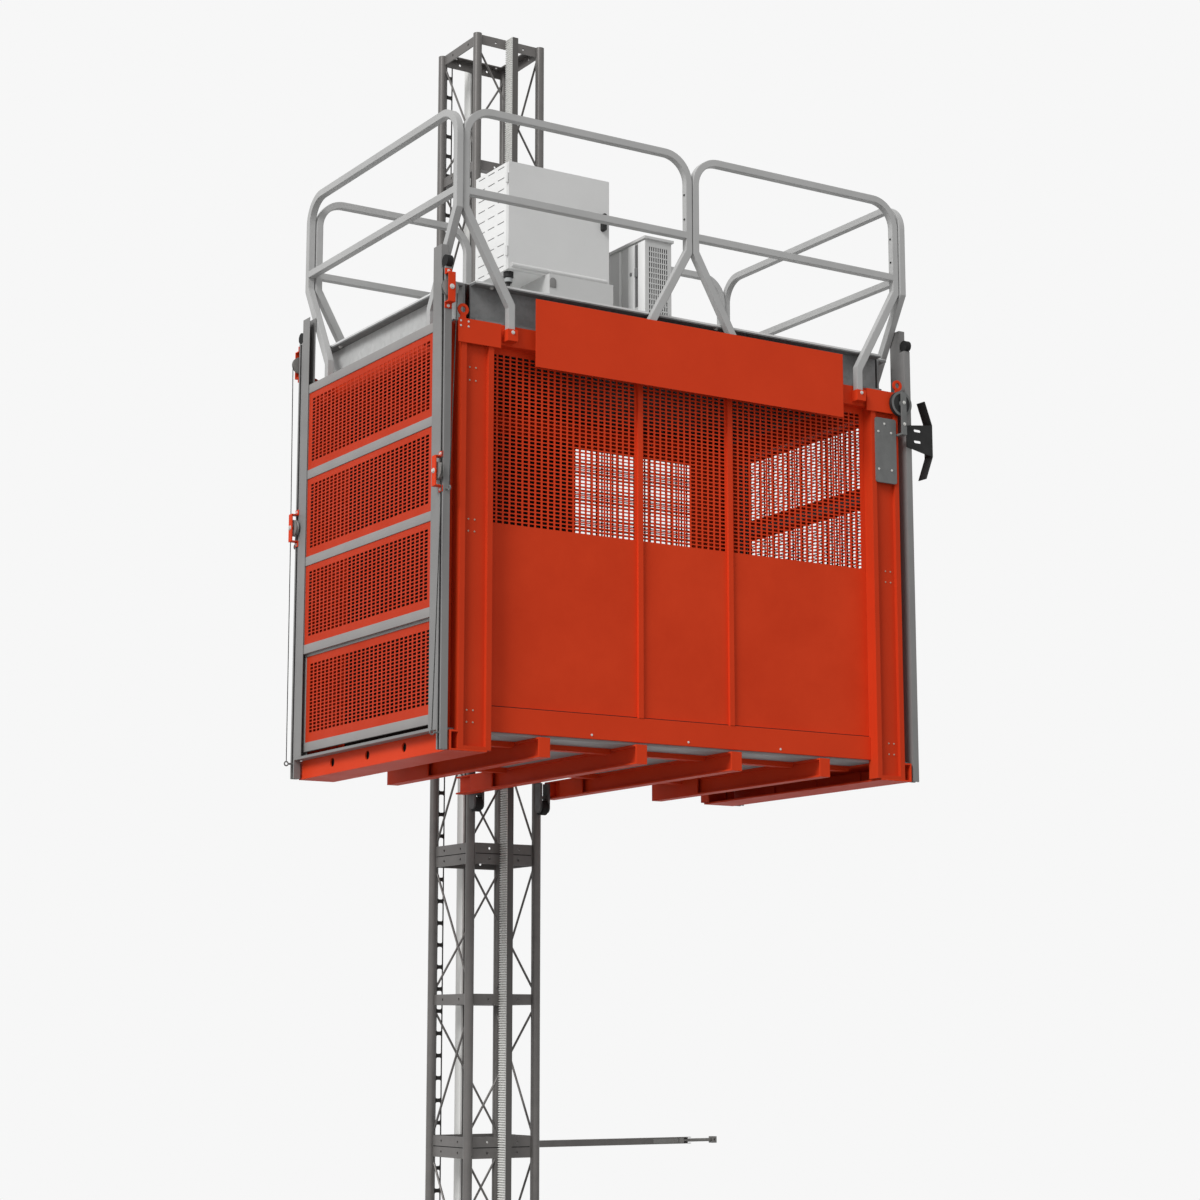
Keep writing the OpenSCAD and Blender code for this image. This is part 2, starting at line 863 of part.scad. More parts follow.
module rear_panels() {
    edge = post_in - fold_t / 2;
    color(red) in_car() mirror([0, 1, 0]) {
        wall_sheet(-edge, -rear_rib_x, false);
        wall_sheet(-rear_rib_x, rear_rib_x, false);
        wall_sheet(rear_rib_x, edge, true);
    }
}

// Roof

module channel_profile(depth) {
    square([depth, roof_t]);
    translate([depth - roof_t, 0]) square([roof_t, roof_h]);
    translate([0, roof_h - roof_t]) square([depth, roof_t]);
}

module roof_frame() {
    side_in = roof_d / 2 - roof_flange - fit;
    color(galvanised) in_car() translate([0, 0, wall_h]) {
        both_walls() along_x(-roof_w / 2, roof_w / 2) translate([-roof_d / 2, 0]) channel_profile(roof_flange);
        both_ends() along_y(-side_in, side_in) translate([-roof_side_x, 0]) channel_profile(roof_flange);
    }
}

// Notched at its corners, clear of the gate posts
module roof_plate() {
    side_in = roof_d / 2 - roof_flange - fit;
    color(galvanised) in_car() translate([0, 0, wall_h + roof_h]) linear_extrude(roof_plate_t) {
        square([roof_w, roof_d], center = true);
        square([2 * roof_side_x, 2 * side_in], center = true);
    }
}

// The bare panel on the front of the roof edge, on four brackets
module sign_panel() {
    back = rail_front_y + rail_s / 2 + clamp_wall * 2 + fit;
    color(red) in_car() {
        translate([-sign_w / 2, -back - sign_t, sign_z]) cube([sign_w, sign_t, sign_h]);
        both_ends() translate([sign_bracket_x, fit - back, wall_h - sign_bracket_w * 2])
            cube([sign_bracket_w, back - top_rail_y - fit, sign_bracket_w]);
    }
}

// Half of a guard rail frame, from its foot to the middle of its top rail, drawn in U and Z
module rail_half(leg_u, mid_u) {
    s = rail_s / 2;
    foot_u = leg_u + rail_toe;
    turn = rail_top - rail_r;
    polygon([[foot_u - s, rail_foot], [foot_u + s, rail_foot], [foot_u + s, rail_foot_top + s / 2],
        [leg_u + s, rail_knee + s / 2], [leg_u + s, turn], [leg_u - s, turn], [leg_u - s, rail_knee - s / 2],
        [foot_u - s, rail_foot_top - s / 2]]);
    translate([leg_u + rail_r, turn]) intersection() {
        difference() {
            circle(rail_r + s);
            circle(rail_r - s);
        }
        translate([-rail_r - s, 0]) square([rail_r + s, rail_r + s]);
    }
    translate([leg_u + rail_r, rail_top - s]) square([mid_u - leg_u - rail_r, rail_s]);
    translate([leg_u, rail_mid - s]) square([mid_u - leg_u, rail_s]);
}

// A whole frame between two legs
module rail_frame(left, right) {
    middle = (left + right) / 2;
    rail_half(left, middle);
    translate([2 * middle, 0]) mirror([1, 0]) rail_half(left, middle);
}

module guard_rail_front() {
    color(rail_grey) in_car() both_ends() upright(-rail_front_y + rail_s / 2, rail_s)
        rail_frame(-front_frame_out, -front_frame_in);
}

module guard_rail_rear() {
    color(rail_grey) in_car() both_ends() upright(rail_front_y + rail_s / 2, rail_s)
        rail_frame(-front_frame_out, -rear_frame_in);
}

module side_rail() {
    along_x(rail_side_x - rail_s / 2, rail_side_x + rail_s / 2) rail_frame(-side_frame_half, side_frame_half);
}

module guard_rail_left() {
    color(rail_grey) in_car() mirror([1, 0, 0]) side_rail();
}

module guard_rail_right() {
    color(rail_grey) in_car() side_rail();
}

// A block that holds a rail foot against the face of a top rail, from y0 at the face to y1
module clamp_block(y0, y1, tube_y) {
    hole = rail_s + 2 * fit;
    difference() {
        translate([-clamp_w / 2, -y1, rail_foot - clamp_h * clamp_below_share])
            cube([clamp_w, y1 - y0, clamp_h]);
        translate([-hole / 2, -tube_y - hole / 2, rail_foot - fit]) cube([hole, hole, clamp_h]);
    }
}

module guard_rail_clamps() {
    front_out = rail_front_y + rail_s / 2 + 2 * clamp_wall;
    side_out = rail_side_x + rail_s / 2 + clamp_wall;
    color(red) in_car() {
        both_ends() for (u = [-front_frame_out + rail_toe, -front_frame_in - rail_toe])
            translate([u, 0, 0]) clamp_block(top_rail_y, front_out, rail_front_y);
        both_ends() for (u = [-front_frame_out + rail_toe, -rear_frame_in - rail_toe])
            translate([u, 0, 0]) mirror([0, 1, 0]) clamp_block(top_rail_y, front_out, rail_front_y);
        four_corners() translate([0, -side_frame_half + rail_toe, 0]) rotate(-90)
            clamp_block(half_w, side_out, rail_side_x);
    }
}

// Gates

// Channels that guide the leaves, open towards them, on the sill, with the stops that the leaves come down on
module gate_posts() {
    stop_y = rope_rail_y - gate_wall - leaf_tongue / 2;
    color(galvanised) in_car() four_corners() {
        translate([gate_x, half_gate, sill_top]) linear_extrude(gate_post_h) {
            square([gate_wall, gate_post_w]);
            translate([0, gate_post_w - gate_wall]) square([gate_post_t, gate_wall]);
            translate([gate_post_t - gate_wall, 0]) square([gate_wall, gate_post_w]);
        }
        translate([upper_leaf_x, stop_y, upper_leaf_z - fit - stop_h]) cube([leaf_t, leaf_tongue / 2, stop_h]);
        translate([lower_leaf_x, stop_y, sill_top]) cube([leaf_t, leaf_tongue / 2, leaf_gap - fit]);
    }
}

// Channels beside the posts, open outwards, that carry the sheaves
module rope_rails() {
    color(galvanised) in_car() four_corners() translate([gate_x, rope_rail_y, gate_foot])
        linear_extrude(rope_rail_top - gate_foot) {
            square([rope_rail_t, rope_rail_w]);
            square([gate_post_t, rope_rail_t]);
            translate([0, rope_rail_w - rope_rail_t]) square([gate_post_t, rope_rail_t]);
            translate([gate_post_t - rope_rail_t, 0]) square([rope_rail_t, rope_rail_w / 2 - rope_rail_gap]);
            translate([gate_post_t - rope_rail_t, rope_rail_w / 2 + rope_rail_gap])
                square([rope_rail_t, rope_rail_w / 2 - rope_rail_gap]);
        }
}

// The edge strips of the floor, which run out between the corner posts and under the gate posts
module gate_sills() {
    inner = half_d - post_d - fit;
    outer = rope_rail_y - fit;
    color(rail_grey) in_car() both_ends() {
        translate([half_w - sill_in, -inner, beam_h]) cube([sill_in + gate_out - half_w, 2 * inner, sill_t]);
        translate([half_w + fit, -outer, beam_h]) cube([gate_out - half_w - fit, 2 * outer, sill_t]);
    }
}

// Rubber rollers on the heads of the rope rails
module gate_buffers() {
    color(black) in_car() four_corners()
        translate([gate_x + gate_post_t / 2, rope_rail_y + buffer_r + fit, buffer_z])
            pin_x(-buffer_w / 2, buffer_w / 2, buffer_r);
}

// A strap over a sheave that carries its axle, standing on a face at y = 0 and reaching to y = -depth
module sheave_strap(depth, rise) {
    translate([-strap_w / 2, -depth - strap_t, -rise / 2]) cube([strap_w, strap_t, rise]);
    for (s = [-1, 1]) translate([-strap_w / 2, -depth, s * (rise - strap_t) / 2 - strap_t / 2])
        cube([strap_w, depth, strap_t]);
    pin_y(-depth, 0, sheave_bore_r - fit);
}

// An eye bolt that reaches in to depth behind the face that it stands on
module eye_bolt(depth) {
    pin_y(-eye_bolt_l, depth, eye_bolt_d / 2);
    translate([0, -eye_bolt_l - eye_bolt_d, 0]) rotate([0, 90, 0])
        rotate_extrude() translate([eye_bolt_d, 0]) circle(eye_wire_r);
}

// Eye bolts for the rope ends, and the axles and bars of the large sheaves
module rope_fittings() {
    rail_face = rope_rail_y + rope_rail_w;
    large_depth = large_sheave_y + large_sheave_w / 2 + sheave_gap - half_d - head_t;
    bar_low = large_sheave_z - bar_h * bar_drop_share;
    color(galvanised) in_car() both_walls() {
        translate([-gate_out, -side_sheave_y, eye_bolt_z]) rotate(-90) eye_bolt(gate_post_t - rope_rail_t);
        translate([-top_sheave_x, -rail_face, upper_eye_z]) eye_bolt(0);
        translate([large_sheave_x, -half_d - head_t, large_sheave_z]) pin_y(-large_depth, 0, large_hub_r - fit);
        translate([large_sheave_x - bar_w / 2, -half_d - head_t - large_depth, bar_low]) {
            translate([0, -bar_t, 0]) cube([bar_w, bar_t, bar_h]);
            cube([bar_w, large_depth + head_t, bar_t]);
        }
    }
}

module sheave_straps() {
    strap_depth = 2 * sheave_gap + sheave_w;
    rail_face = rope_rail_y + rope_rail_w;
    color(red) in_car() both_walls() {
        translate([-top_sheave_x, -rail_face, top_sheave_z]) sheave_strap(strap_depth, strap_h);
        translate([-gate_out, -side_sheave_y, side_sheave_z]) rotate(-90) sheave_strap(strap_depth, strap_h);
    }
}

// Each rope runs over the top sheave, past the side sheave and down to the eye at the post foot
module gate_ropes() {
    color(black) in_car() both_walls() {
        track_y = -top_sheave_y;
        outer_x = -top_sheave_x - rope_track;
        inner_x = -top_sheave_x + rope_track;
        side_y = -side_sheave_y - rope_track;
        translate([-top_sheave_x, track_y, top_sheave_z]) rotate([90, 0, 0])
            rotate_extrude(angle = 180) translate([rope_track, 0]) circle(rope_r, $fn = 24);
        bar_between([outer_x, track_y, top_sheave_z - fit],
            [-side_sheave_x, side_y, side_sheave_z + fit], rope_d);
        bar_between([-side_sheave_x, side_y, side_sheave_z - fit],
            [-gate_out - eye_bolt_l - eye_bolt_d, -side_sheave_y, eye_bolt_z + eye_loop], rope_d);
        bar_between([inner_x, track_y, top_sheave_z - fit],
            [-top_sheave_x, -rope_rail_y - rope_rail_w - eye_bolt_l - eye_bolt_d, upper_eye_z + eye_loop], rope_d);
    }
}

// Right end of the front wall

module cover_plate() {
    color(galvanised) in_car() translate([half_w - post_w / 2, 0, cover_z + cover_h / 2])
        upright(-half_d, cover_t) rounded(cover_w, cover_h, cover_r);
}

// A slotted plate on the rope rail that carries the ramped cam strip for the landing switches
module landing_cam() {
    y = rope_rail_y + rope_rail_w;
    x0 = gate_x;
    x1 = gate_out + cam_reach;
    z0 = cam_plate_z;
    z1 = cam_plate_z + cam_plate_h;
    color(black) in_car() {
        difference() {
            upright(-y, cam_t) polygon([[x0, z0 + cam_plate_h * cam_root_shares[0]], [x1, z0], [x1, z1],
                [x0, z1 - cam_plate_h * cam_root_shares[1]]]);
            for (share = cam_slot_shares)
                translate([gate_out + cam_slot_l * cam_slot_x_share, 0, z0 + cam_plate_h * share])
                    upright(-y + cut, cam_t + 2 * cut)
                        rounded(cam_slot_l, cam_slot_d, cam_slot_d * slot_corner_share);
        }
        along_y(-y - cam_t, -y - cam_t + cam_strip_w)
            polygon([[x1, z0], [x1 - cam_wing_lean, z0 - cam_wing], [x1 - cam_wing_lean + cam_t, z0 - cam_wing],
                [x1 + cam_t, z0], [x1 + cam_t, z1], [x1 + cam_t - cam_wing_lean, z1 + cam_wing],
                [x1 - cam_wing_lean, z1 + cam_wing], [x1, z1]]);
    }
}

// Roof equipment

module cabinet_body() {
    body_d = cabinet_d - door_t - door_gap;
    back_y = cabinet_front + door_t + door_gap;
    color(white_paint) in_car() translate([cabinet_x, back_y, cabinet_z]) difference() {
        cube([cabinet_w, body_d, cabinet_h]);
        translate([cabinet_wall, -cut, cabinet_wall])
            cube([cabinet_w - 2 * cabinet_wall, body_d - cabinet_wall + cut, cabinet_h - 2 * cabinet_wall]);
    }
}

// A low cover under the right part of the cabinet, and two angle legs under its left edge
module cabinet_plinth() {
    rise = cabinet_z - roof_top;
    back = cabinet_front + cabinet_d;
    color(white_paint) in_car() {
        translate([cabinet_x + cabinet_w - plinth_w, plinth_front, roof_top]) difference() {
            cube([plinth_w, plinth_d, rise]);
            translate([plinth_t, plinth_t, -cut])
                cube([plinth_w - 2 * plinth_t, plinth_d - 2 * plinth_t, rise - plinth_t + cut]);
        }
        for (y = [cabinet_front + door_t + plinth_leg * 2, back - plinth_leg])
            translate([cabinet_x + plinth_leg, y, roof_top]) linear_extrude(rise) {
                square([plinth_leg, plinth_t]);
                square([plinth_t, plinth_leg]);
            }
    }
}

// A stepped gland on the underside of the cabinet's front corner
module cable_gland() {
    levels = [0, gland_heights[0], gland_heights[0] + gland_heights[1]];
    color(black) in_car() translate([cabinet_x + gland_in, cabinet_front + door_t + gland_in, cabinet_z])
        mirror([0, 0, 1]) for (i = [0 : 2])
            translate([0, 0, levels[i]]) cylinder(h = gland_heights[i], r = gland_radii[i]);
}

module cabinet_door() {
    color(white_paint) in_car() difference() {
        union() {
            translate([cabinet_x, cabinet_front, cabinet_z]) cube([cabinet_w, door_t, cabinet_h]);
            for (share = knuckle_shares)
                translate([cabinet_x - knuckle_out, cabinet_front + knuckle_out, cabinet_z + share * cabinet_h])
                    cylinder(h = knuckle_l, d = knuckle_d);
        }
        translate([cabinet_x + cabinet_w - knob_in, cabinet_front, cabinet_z + knob_z])
            pin_y(-cut, door_t + cut, knob_stem_r + fit);
    }
}

module cabinet_handle() {
    color(black) in_car() translate([cabinet_x + cabinet_w - knob_in, cabinet_front, cabinet_z + knob_z]) {
        pin_y(-knob_h, door_t - fit, knob_stem_r);
        upright(-fit, knob_h) rounded(knob_w, knob_l, knob_w * knob_corner_share);
    }
}

// A narrow box with a lid that stands over its sides and a recessed grille in its front
module control_box() {
    cell_w = (box_w - 2 * grille_edge) / grille_cols;
    cell_h = (box_h - 2 * grille_edge) / grille_rows;
    edge = grille_edge + grille_bar / 2;
    color(white_paint) in_car() translate([box_x, box_front, roof_top]) {
        difference() {
            cube([box_w, box_d, box_h - box_lid_h - fit]);
            translate([box_wall, box_wall, -cut])
                cube([box_w - 2 * box_wall, box_d - 2 * box_wall, box_h - box_lid_h + 2 * cut]);
            for (c = [0 : grille_cols - 1], r = [0 : grille_rows - 2])
                translate([edge + c * cell_w, -cut, edge + r * cell_h])
                    cube([cell_w - grille_bar, box_wall + 2 * cut, cell_h - grille_bar]);
        }
        translate([-box_lid_over, -box_lid_over, box_h - box_lid_h])
            cube([box_w + 2 * box_lid_over, box_d + 2 * box_lid_over, box_lid_h]);
    }
}

// The drive, behind the roof in front of the mast

module machine_frame() {
    low = wall_h + roof_t;
    plate_front = machine_y - machine_t;
    arm_h = roof_h - 2 * roof_t;
    color(galvanised) {
        difference() {
            translate([-machine_w / 2, plate_front, car_z + low])
                cube([machine_w, machine_t, machine_top - low]);
            translate([pinion_x, 0, drive_z]) pin_y(plate_front - cut, machine_y + cut, shaft_r + 2 * fit);
        }
        translate([counter_x, 0, drive_z]) pin_y(machine_y, pinion_y + pinion_w, counter_axle_r);
        both_ends() translate([machine_arm_x - machine_arm_t, roof_web_y, car_z + low])
            cube([machine_arm_t, plate_front - roof_web_y, arm_h]);
    }
}

module gearbox() {
    y1 = machine_y - machine_t;
    color(galvanised) translate([pinion_x, 0, drive_z]) difference() {
        union() {
            upright(y1, gearbox_d) rounded(gearbox_w, gearbox_h, gearbox_r);
            pin_y(y1 - gearbox_d - gearbox_r, y1 - gearbox_d, gearbox_w / 4);
        }
        pin_y(y1 - gearbox_r, y1 + cut, shaft_r + 2 * fit);
    }
}

// A ribbed motor with a plain brake cover above it
module drive_motor() {
    rib_pitch = motor_h * motor_rib_share / motor_ribs;
    core = motor_d / 2 - motor_rib;
    color(mast_grey) translate([pinion_x, machine_y - machine_t - gearbox_d / 2, drive_z + gearbox_h / 2]) {
        cylinder(h = motor_h, r = core);
        for (i = [1 : motor_ribs]) translate([0, 0, i * rib_pitch]) cylinder(h = rib_pitch / 2, d = motor_d);
        translate([0, 0, motor_h * motor_cap_shares[0]])
            cylinder(h = motor_h * motor_cap_shares[1], d = motor_d);
    }
}

// A gear with involute flanks, one tooth towards +X
function involute(r) = let (base = pinion_r * cos(pressure), a = acos(min(1, base / r))) tan(a) - a * PI / 180;
function flank(r) = 90 / pinion_teeth + (involute(pinion_r) - involute(r)) * 180 / PI
    - backlash / 4 / pinion_r * 180 / PI;
function polar(r, a) = [r * cos(a), r * sin(a)];

module gear_outline() {
    tip_r = pinion_r + tooth_m;
    root_r = pinion_r - dedendum_share * tooth_m;
    base_r = pinion_r * cos(pressure);
    step = (tip_r - base_r) / flank_steps;
    radii = [root_r, for (i = [0 : flank_steps]) base_r + i * step];
    angles = [flank(base_r), for (i = [0 : flank_steps]) flank(base_r + i * step)];
    last = len(radii) - 1;
    polygon([for (t = [0 : pinion_teeth - 1]) let (a = t * 360 / pinion_teeth) each concat(
        [for (i = [0 : last]) polar(radii[i], a - angles[i])],
        [for (i = [last : -1 : 0]) polar(radii[i], a + angles[i])])]);
}

// A pinion in mesh with the front rack, on a shaft that reaches forward to y
module pinion(z, shaft_front) {
    translate([pinion_x, 0, z]) {
        upright(pinion_y + pinion_w, pinion_w) gear_outline();
        pin_y(shaft_front, pinion_y, shaft_r);
    }
}

module drive_pinion() {
    color(steel) pinion(drive_z, machine_y - machine_t - gearbox_r + fit);
}

module safety_pinion() {
    color(steel) pinion(safety_z, car_y + wall_y + rib_t + safety_plate_t + safety_l - gearbox_r);
}

module counter_roller() {
    color(steel) translate([counter_x, 0, drive_z]) difference() {
        pin_y(pinion_y, pinion_y + pinion_w, counter_r);
        pin_y(pinion_y - cut, pinion_y + pinion_w + cut, counter_axle_r + fit);
    }
}

// The safety device: a plate across the rear ribs and a drum housing round its shaft
module safety_device() {
    plate_y = car_y + wall_y + rib_t;
    drum = plate_y + safety_plate_t;
    end = drum + safety_l;
    color(galvanised) translate([0, 0, safety_z]) {
        translate([-safety_plate_w / 2, plate_y, -safety_plate_h / 2])
            cube([safety_plate_w, safety_plate_t, safety_plate_h]);
        translate([pinion_x, 0, 0]) difference() {
            union() {
                pin_y(drum, drum + safety_l * safety_drum_share, safety_r);
                pin_y(drum + safety_l * safety_drum_share, end, safety_cap_r);
            }
            pin_y(end - gearbox_r - fit, end + cut, shaft_r + fit);
        }
    }
}

// Guides

// A fork plate's outline in Y and Z: the nose round the axle at z = 0, and its children as the rest
module fork_outline() {
    difference() {
        union() {
            children();
            translate([guide_y, 0]) circle(fork_nose);
        }
        translate([guide_y, 0]) circle(guide_axle_r + fit);
    }
}

// A pair of fork plates with the outline of its children, and the axle between them
module guide_fork() {
    inner = guide_w / 2 + fork_play;
    for (x = [half_mast - inner - fork_t, half_mast + inner]) along_x(x, x + fork_t) fork_outline() children();
    translate([0, guide_y, 0]) pin_x(half_mast - inner - fork_t, fork_outer, guide_axle_r);
}

// The hook that reaches behind the leg
module guide_hook() {
    hook_y = -half_mast + leg_r + hook_clear - fit;
    translate([fork_outer, guide_y - fork_nose, -hook_t / 2])
        cube([hook_reach, hook_y + hook_tip - guide_y + fork_nose, hook_t]);
    translate([half_mast + hook_clear, hook_y, -hook_t / 2])
        cube([fork_outer - half_mast - hook_clear + hook_reach / 2, hook_tip, hook_t]);
}

// The lower forks on the blocks of the long beams, and the upper forks on the roof frame with their hooks
module guide_brackets() {
    inner = guide_w / 2 + fork_play;
    root_low = wall_h + roof_t - guide_high;
    root_high = wall_h + roof_h - roof_t - guide_high;
    color(steel) translate([0, 0, car_z]) both_ends() {
        translate([0, 0, guide_low]) {
            guide_fork() translate([guide_y - fork_nose, 0]) square([2 * fork_nose, fork_head]);
            translate([0, guide_y, guide_r + spacer_r + spacer_gap])
                pin_x(half_mast - inner, half_mast + inner, spacer_r);
        }
        translate([0, 0, guide_high]) {
            guide_fork() polygon([[guide_y, -fork_nose], [guide_y, fork_nose], [roof_web_y, root_high],
                [roof_web_y, root_low]]);
            guide_hook();
        }
    }
}

// A pair of rollers that run on the front legs
module guide_rollers(z) {
    color(black) translate([0, guide_y, car_z + z]) both_ends() difference() {
        pin_x(half_mast - guide_w / 2, half_mast + guide_w / 2, guide_r);
        pin_x(half_mast - guide_w, half_mast + guide_w, guide_axle_r + fit);
    }
}

module lower_guide_rollers() { guide_rollers(guide_low); }
module upper_guide_rollers() { guide_rollers(guide_high); }

// A grooved sheave about the Y axis
module sheave(r, width, bore_r) {
    rotate([90, 0, 0]) rotate_extrude() difference() {
        translate([bore_r, -width / 2]) square([r - bore_r, width]);
        translate([r, 0]) circle(groove_r);
    }
}

module left_top_sheaves() {
    color(steel) in_car() both_walls() translate([-top_sheave_x, -top_sheave_y, top_sheave_z])
        sheave(sheave_r, sheave_w, sheave_bore_r);
}

module side_sheave() {
    translate([-side_sheave_x, -side_sheave_y, side_sheave_z]) rotate(90)
        sheave(sheave_r, sheave_w, sheave_bore_r);
}

module left_near_sheave() {
    color(steel) in_car() side_sheave();
}

module left_far_sheave() {
    color(steel) in_car() mirror([0, 1, 0]) side_sheave();
}

module right_top_sheaves() {
    color(black) in_car() both_walls() translate([large_sheave_x, -large_sheave_y, large_sheave_z])
        sheave(large_sheave_r, large_sheave_w, large_hub_r);
}

// A leaf: a flat frame with slotted panels in its windows, between z0 and z0 + h, its inner face at x
module gate_leaf(x, z0, h, windows, stile) {
    reach = half_gate + leaf_tongue;
    open = half_gate - stile;
    open_h = (h - leaf_rail_h * (windows + 1)) / windows;
    rotate(90) {
        difference() {
            translate([-reach, -x - leaf_t, z0]) cube([2 * reach, leaf_t, h]);
            for (i = [0 : windows - 1])
                translate([-open, -x - leaf_t - cut, z0 + leaf_rail_h + i * (open_h + leaf_rail_h)])
                    cube([2 * open, leaf_t + 2 * cut, open_h]);
        }
        for (i = [0 : windows - 1]) leaf_panel(x, z0 + leaf_rail_h + i * (open_h + leaf_rail_h), open, open_h);
    }
}

module leaf_panel(x, z, half_open, open_h) {
    y = -x - leaf_t / 2;
    difference() {
        translate([-half_open + fit, y - leaf_panel_t / 2, z + fit])
            cube([2 * (half_open - fit), leaf_panel_t, open_h - 2 * fit]);
        slots(-half_open + perf_edge, half_open - perf_edge, z + perf_edge, z + open_h - perf_edge, y, 2 * cut);
    }
}

module upper_leaf() {
    gate_leaf(upper_leaf_x, upper_leaf_z, upper_leaf_h, 3, 0);
}

module lower_leaf() {
    gate_leaf(lower_leaf_x, leaf_low, lower_leaf_h, 1, lower_stile);
}

module left_gate_upper() {
    color(red) in_car() mirror([1, 0, 0]) upper_leaf();
}

module left_gate_lower() {
    color(red) in_car() mirror([1, 0, 0]) lower_leaf();
}

module right_gate_upper() {
    color(red) in_car() upper_leaf();
}

module right_gate_lower() {
    color(red) in_car() lower_leaf();
}

mast_section_1();
mast_section_2();
mast_section_3();
mast_section_4();
mast_section_5();
racks();
slotted_strip();
mast_bolts();
wall_tie();
wall_tie_end();
floor_beams();
end_beams();
floor_plate();
corner_posts();
head_plates();
wall_frame();
front_panels();
rear_panels();
roof_frame();
roof_plate();
sign_panel();
guard_rail_front();
guard_rail_rear();
guard_rail_left();
guard_rail_right();
guard_rail_clamps();
gate_posts();
rope_rails();
gate_sills();
gate_buffers();
rope_fittings();
sheave_straps();
gate_ropes();
cover_plate();
landing_cam();
cabinet_body();
cabinet_plinth();
cable_gland();
control_box();
machine_frame();
gearbox();
drive_motor();
safety_device();
guide_brackets();
left_gate_upper();
left_gate_lower();
right_gate_upper();
right_gate_lower();
drive_pinion();
safety_pinion();
counter_roller();
lower_guide_rollers();
upper_guide_rollers();
left_top_sheaves();
left_near_sheave();
left_far_sheave();
right_top_sheaves();
cabinet_door();
cabinet_handle();
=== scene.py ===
"""Looks of a rack and pinion material hoist: a car with perforated walls on a latticed mast."""

from __future__ import annotations

import json
import logging
import math
from dataclasses import dataclass, field, replace
from enum import Enum
from typing import Iterable, Sequence

import bmesh
import bpy
from mathutils import Matrix, Vector

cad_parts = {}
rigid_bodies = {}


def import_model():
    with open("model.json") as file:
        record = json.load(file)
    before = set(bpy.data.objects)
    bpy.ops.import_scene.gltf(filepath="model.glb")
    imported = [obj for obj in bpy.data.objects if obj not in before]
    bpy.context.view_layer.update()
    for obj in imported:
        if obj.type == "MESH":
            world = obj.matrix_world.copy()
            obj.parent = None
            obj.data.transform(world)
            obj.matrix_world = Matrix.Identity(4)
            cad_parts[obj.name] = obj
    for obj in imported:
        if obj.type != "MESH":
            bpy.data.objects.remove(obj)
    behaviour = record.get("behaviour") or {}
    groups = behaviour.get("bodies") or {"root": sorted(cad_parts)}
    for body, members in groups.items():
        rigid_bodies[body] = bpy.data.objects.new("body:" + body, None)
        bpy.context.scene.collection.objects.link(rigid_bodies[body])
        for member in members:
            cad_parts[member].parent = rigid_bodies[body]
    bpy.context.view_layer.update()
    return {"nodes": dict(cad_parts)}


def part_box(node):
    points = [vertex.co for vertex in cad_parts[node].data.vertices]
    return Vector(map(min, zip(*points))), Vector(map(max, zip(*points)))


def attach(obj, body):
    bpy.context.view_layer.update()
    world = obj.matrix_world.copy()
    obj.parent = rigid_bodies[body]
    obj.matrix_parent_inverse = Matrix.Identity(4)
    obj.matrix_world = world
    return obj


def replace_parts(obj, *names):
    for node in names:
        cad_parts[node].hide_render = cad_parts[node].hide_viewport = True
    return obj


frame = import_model()

LOG = logging.getLogger("hoist")
MM = 0.001
CAR_Y = -1213.0
HALF_D = 770.0
TOOTH_ROOT = -0.0135
SIDES = (-1.0, 1.0)
DOWN = (0.0, 0.0, -1.0)
LEFT = (-1.0, 0.0, 0.0)
Point = Sequence[float]
Span = tuple[float, float]
Triple = tuple[float, float, float]
Quad = tuple[float, float, float, float]
Socket = bpy.types.NodeSocket
Tree = bpy.types.NodeTree
Sockets = dict[object, object]


class Grain(Enum):
    """How a finish varies over its surface."""

    PAINT = "paint"
    SPANGLE = "spangle"
    TEETH = "teeth"


class Axis(Enum):
    """A direction of the row frame that a profile is drawn along."""

    X = 0
    Y = 1


class Head(Enum):
    """A fastener of width 1: radius and height of its head and of its washer, then its sides."""

    BOLT = (0.5, 0.34, 0.72, 0.1, 6)
    RIVET = (0.5, 0.22, 0.5, 0.12, 12)


def linear(value: float) -> float:
    """Returns the linear light of one display value from 0 to 1."""
    return value / 12.92 if value <= 0.04045 else ((value + 0.055) / 1.055) ** 2.4


def hex_colour(code: str) -> Quad:
    """Turns a display colour into linear light.

    Args:
        code: six hexadecimal digits.

    Returns:
        Red, green, blue and an alpha of 1.
    """
    red, green, blue = (linear(int(code[i : i + 2], 16) / 255) for i in (0, 2, 4))
    return red, green, blue, 1.0


def grey(level: float) -> Quad:
    """Returns a grey of that linear light."""
    return level, level, level, 1.0


def add_node(tree: Tree, kind: str, inputs: Sockets | None = None, **props: object) -> bpy.types.Node:
    """Adds one node to a tree.

    Args:
        tree: the node tree.
        kind: the node's type.
        inputs: socket name or index to a value, an output socket, or a list of sockets for a multiple input.
        props: properties of the node.

    Returns:
        The node.
    """
    node = tree.nodes.new(kind)
    for key, value in props.items():
        setattr(node, key, value)
    for key, value in (inputs or {}).items():
        for one in value if isinstance(value, list) else [value]:
            if isinstance(one, Socket):
                tree.links.new(one, node.inputs[key])
            else:
                node.inputs[key].default_value = one
    return node


def blend(tree: Tree, amount: Socket, low: object, high: object) -> Socket:
    """Mixes two colours by amount in a tree and returns the mixed colour."""
    return add_node(tree, "ShaderNodeMix", {"Factor": amount, 6: low, 7: high}, data_type="RGBA").outputs[2]


def fresh(owner: bpy.types.ID) -> Tree:
    """Returns the emptied node tree of a material or a world."""
    owner.use_nodes = True
    owner.node_tree.nodes.clear()
    return owner.node_tree


def show(name: str, data: bpy.types.ID) -> bpy.types.Object:
    """Returns a new object of the scene with that data."""
    made = bpy.data.objects.new(name, data)
    bpy.context.scene.collection.objects.link(made)
    return made


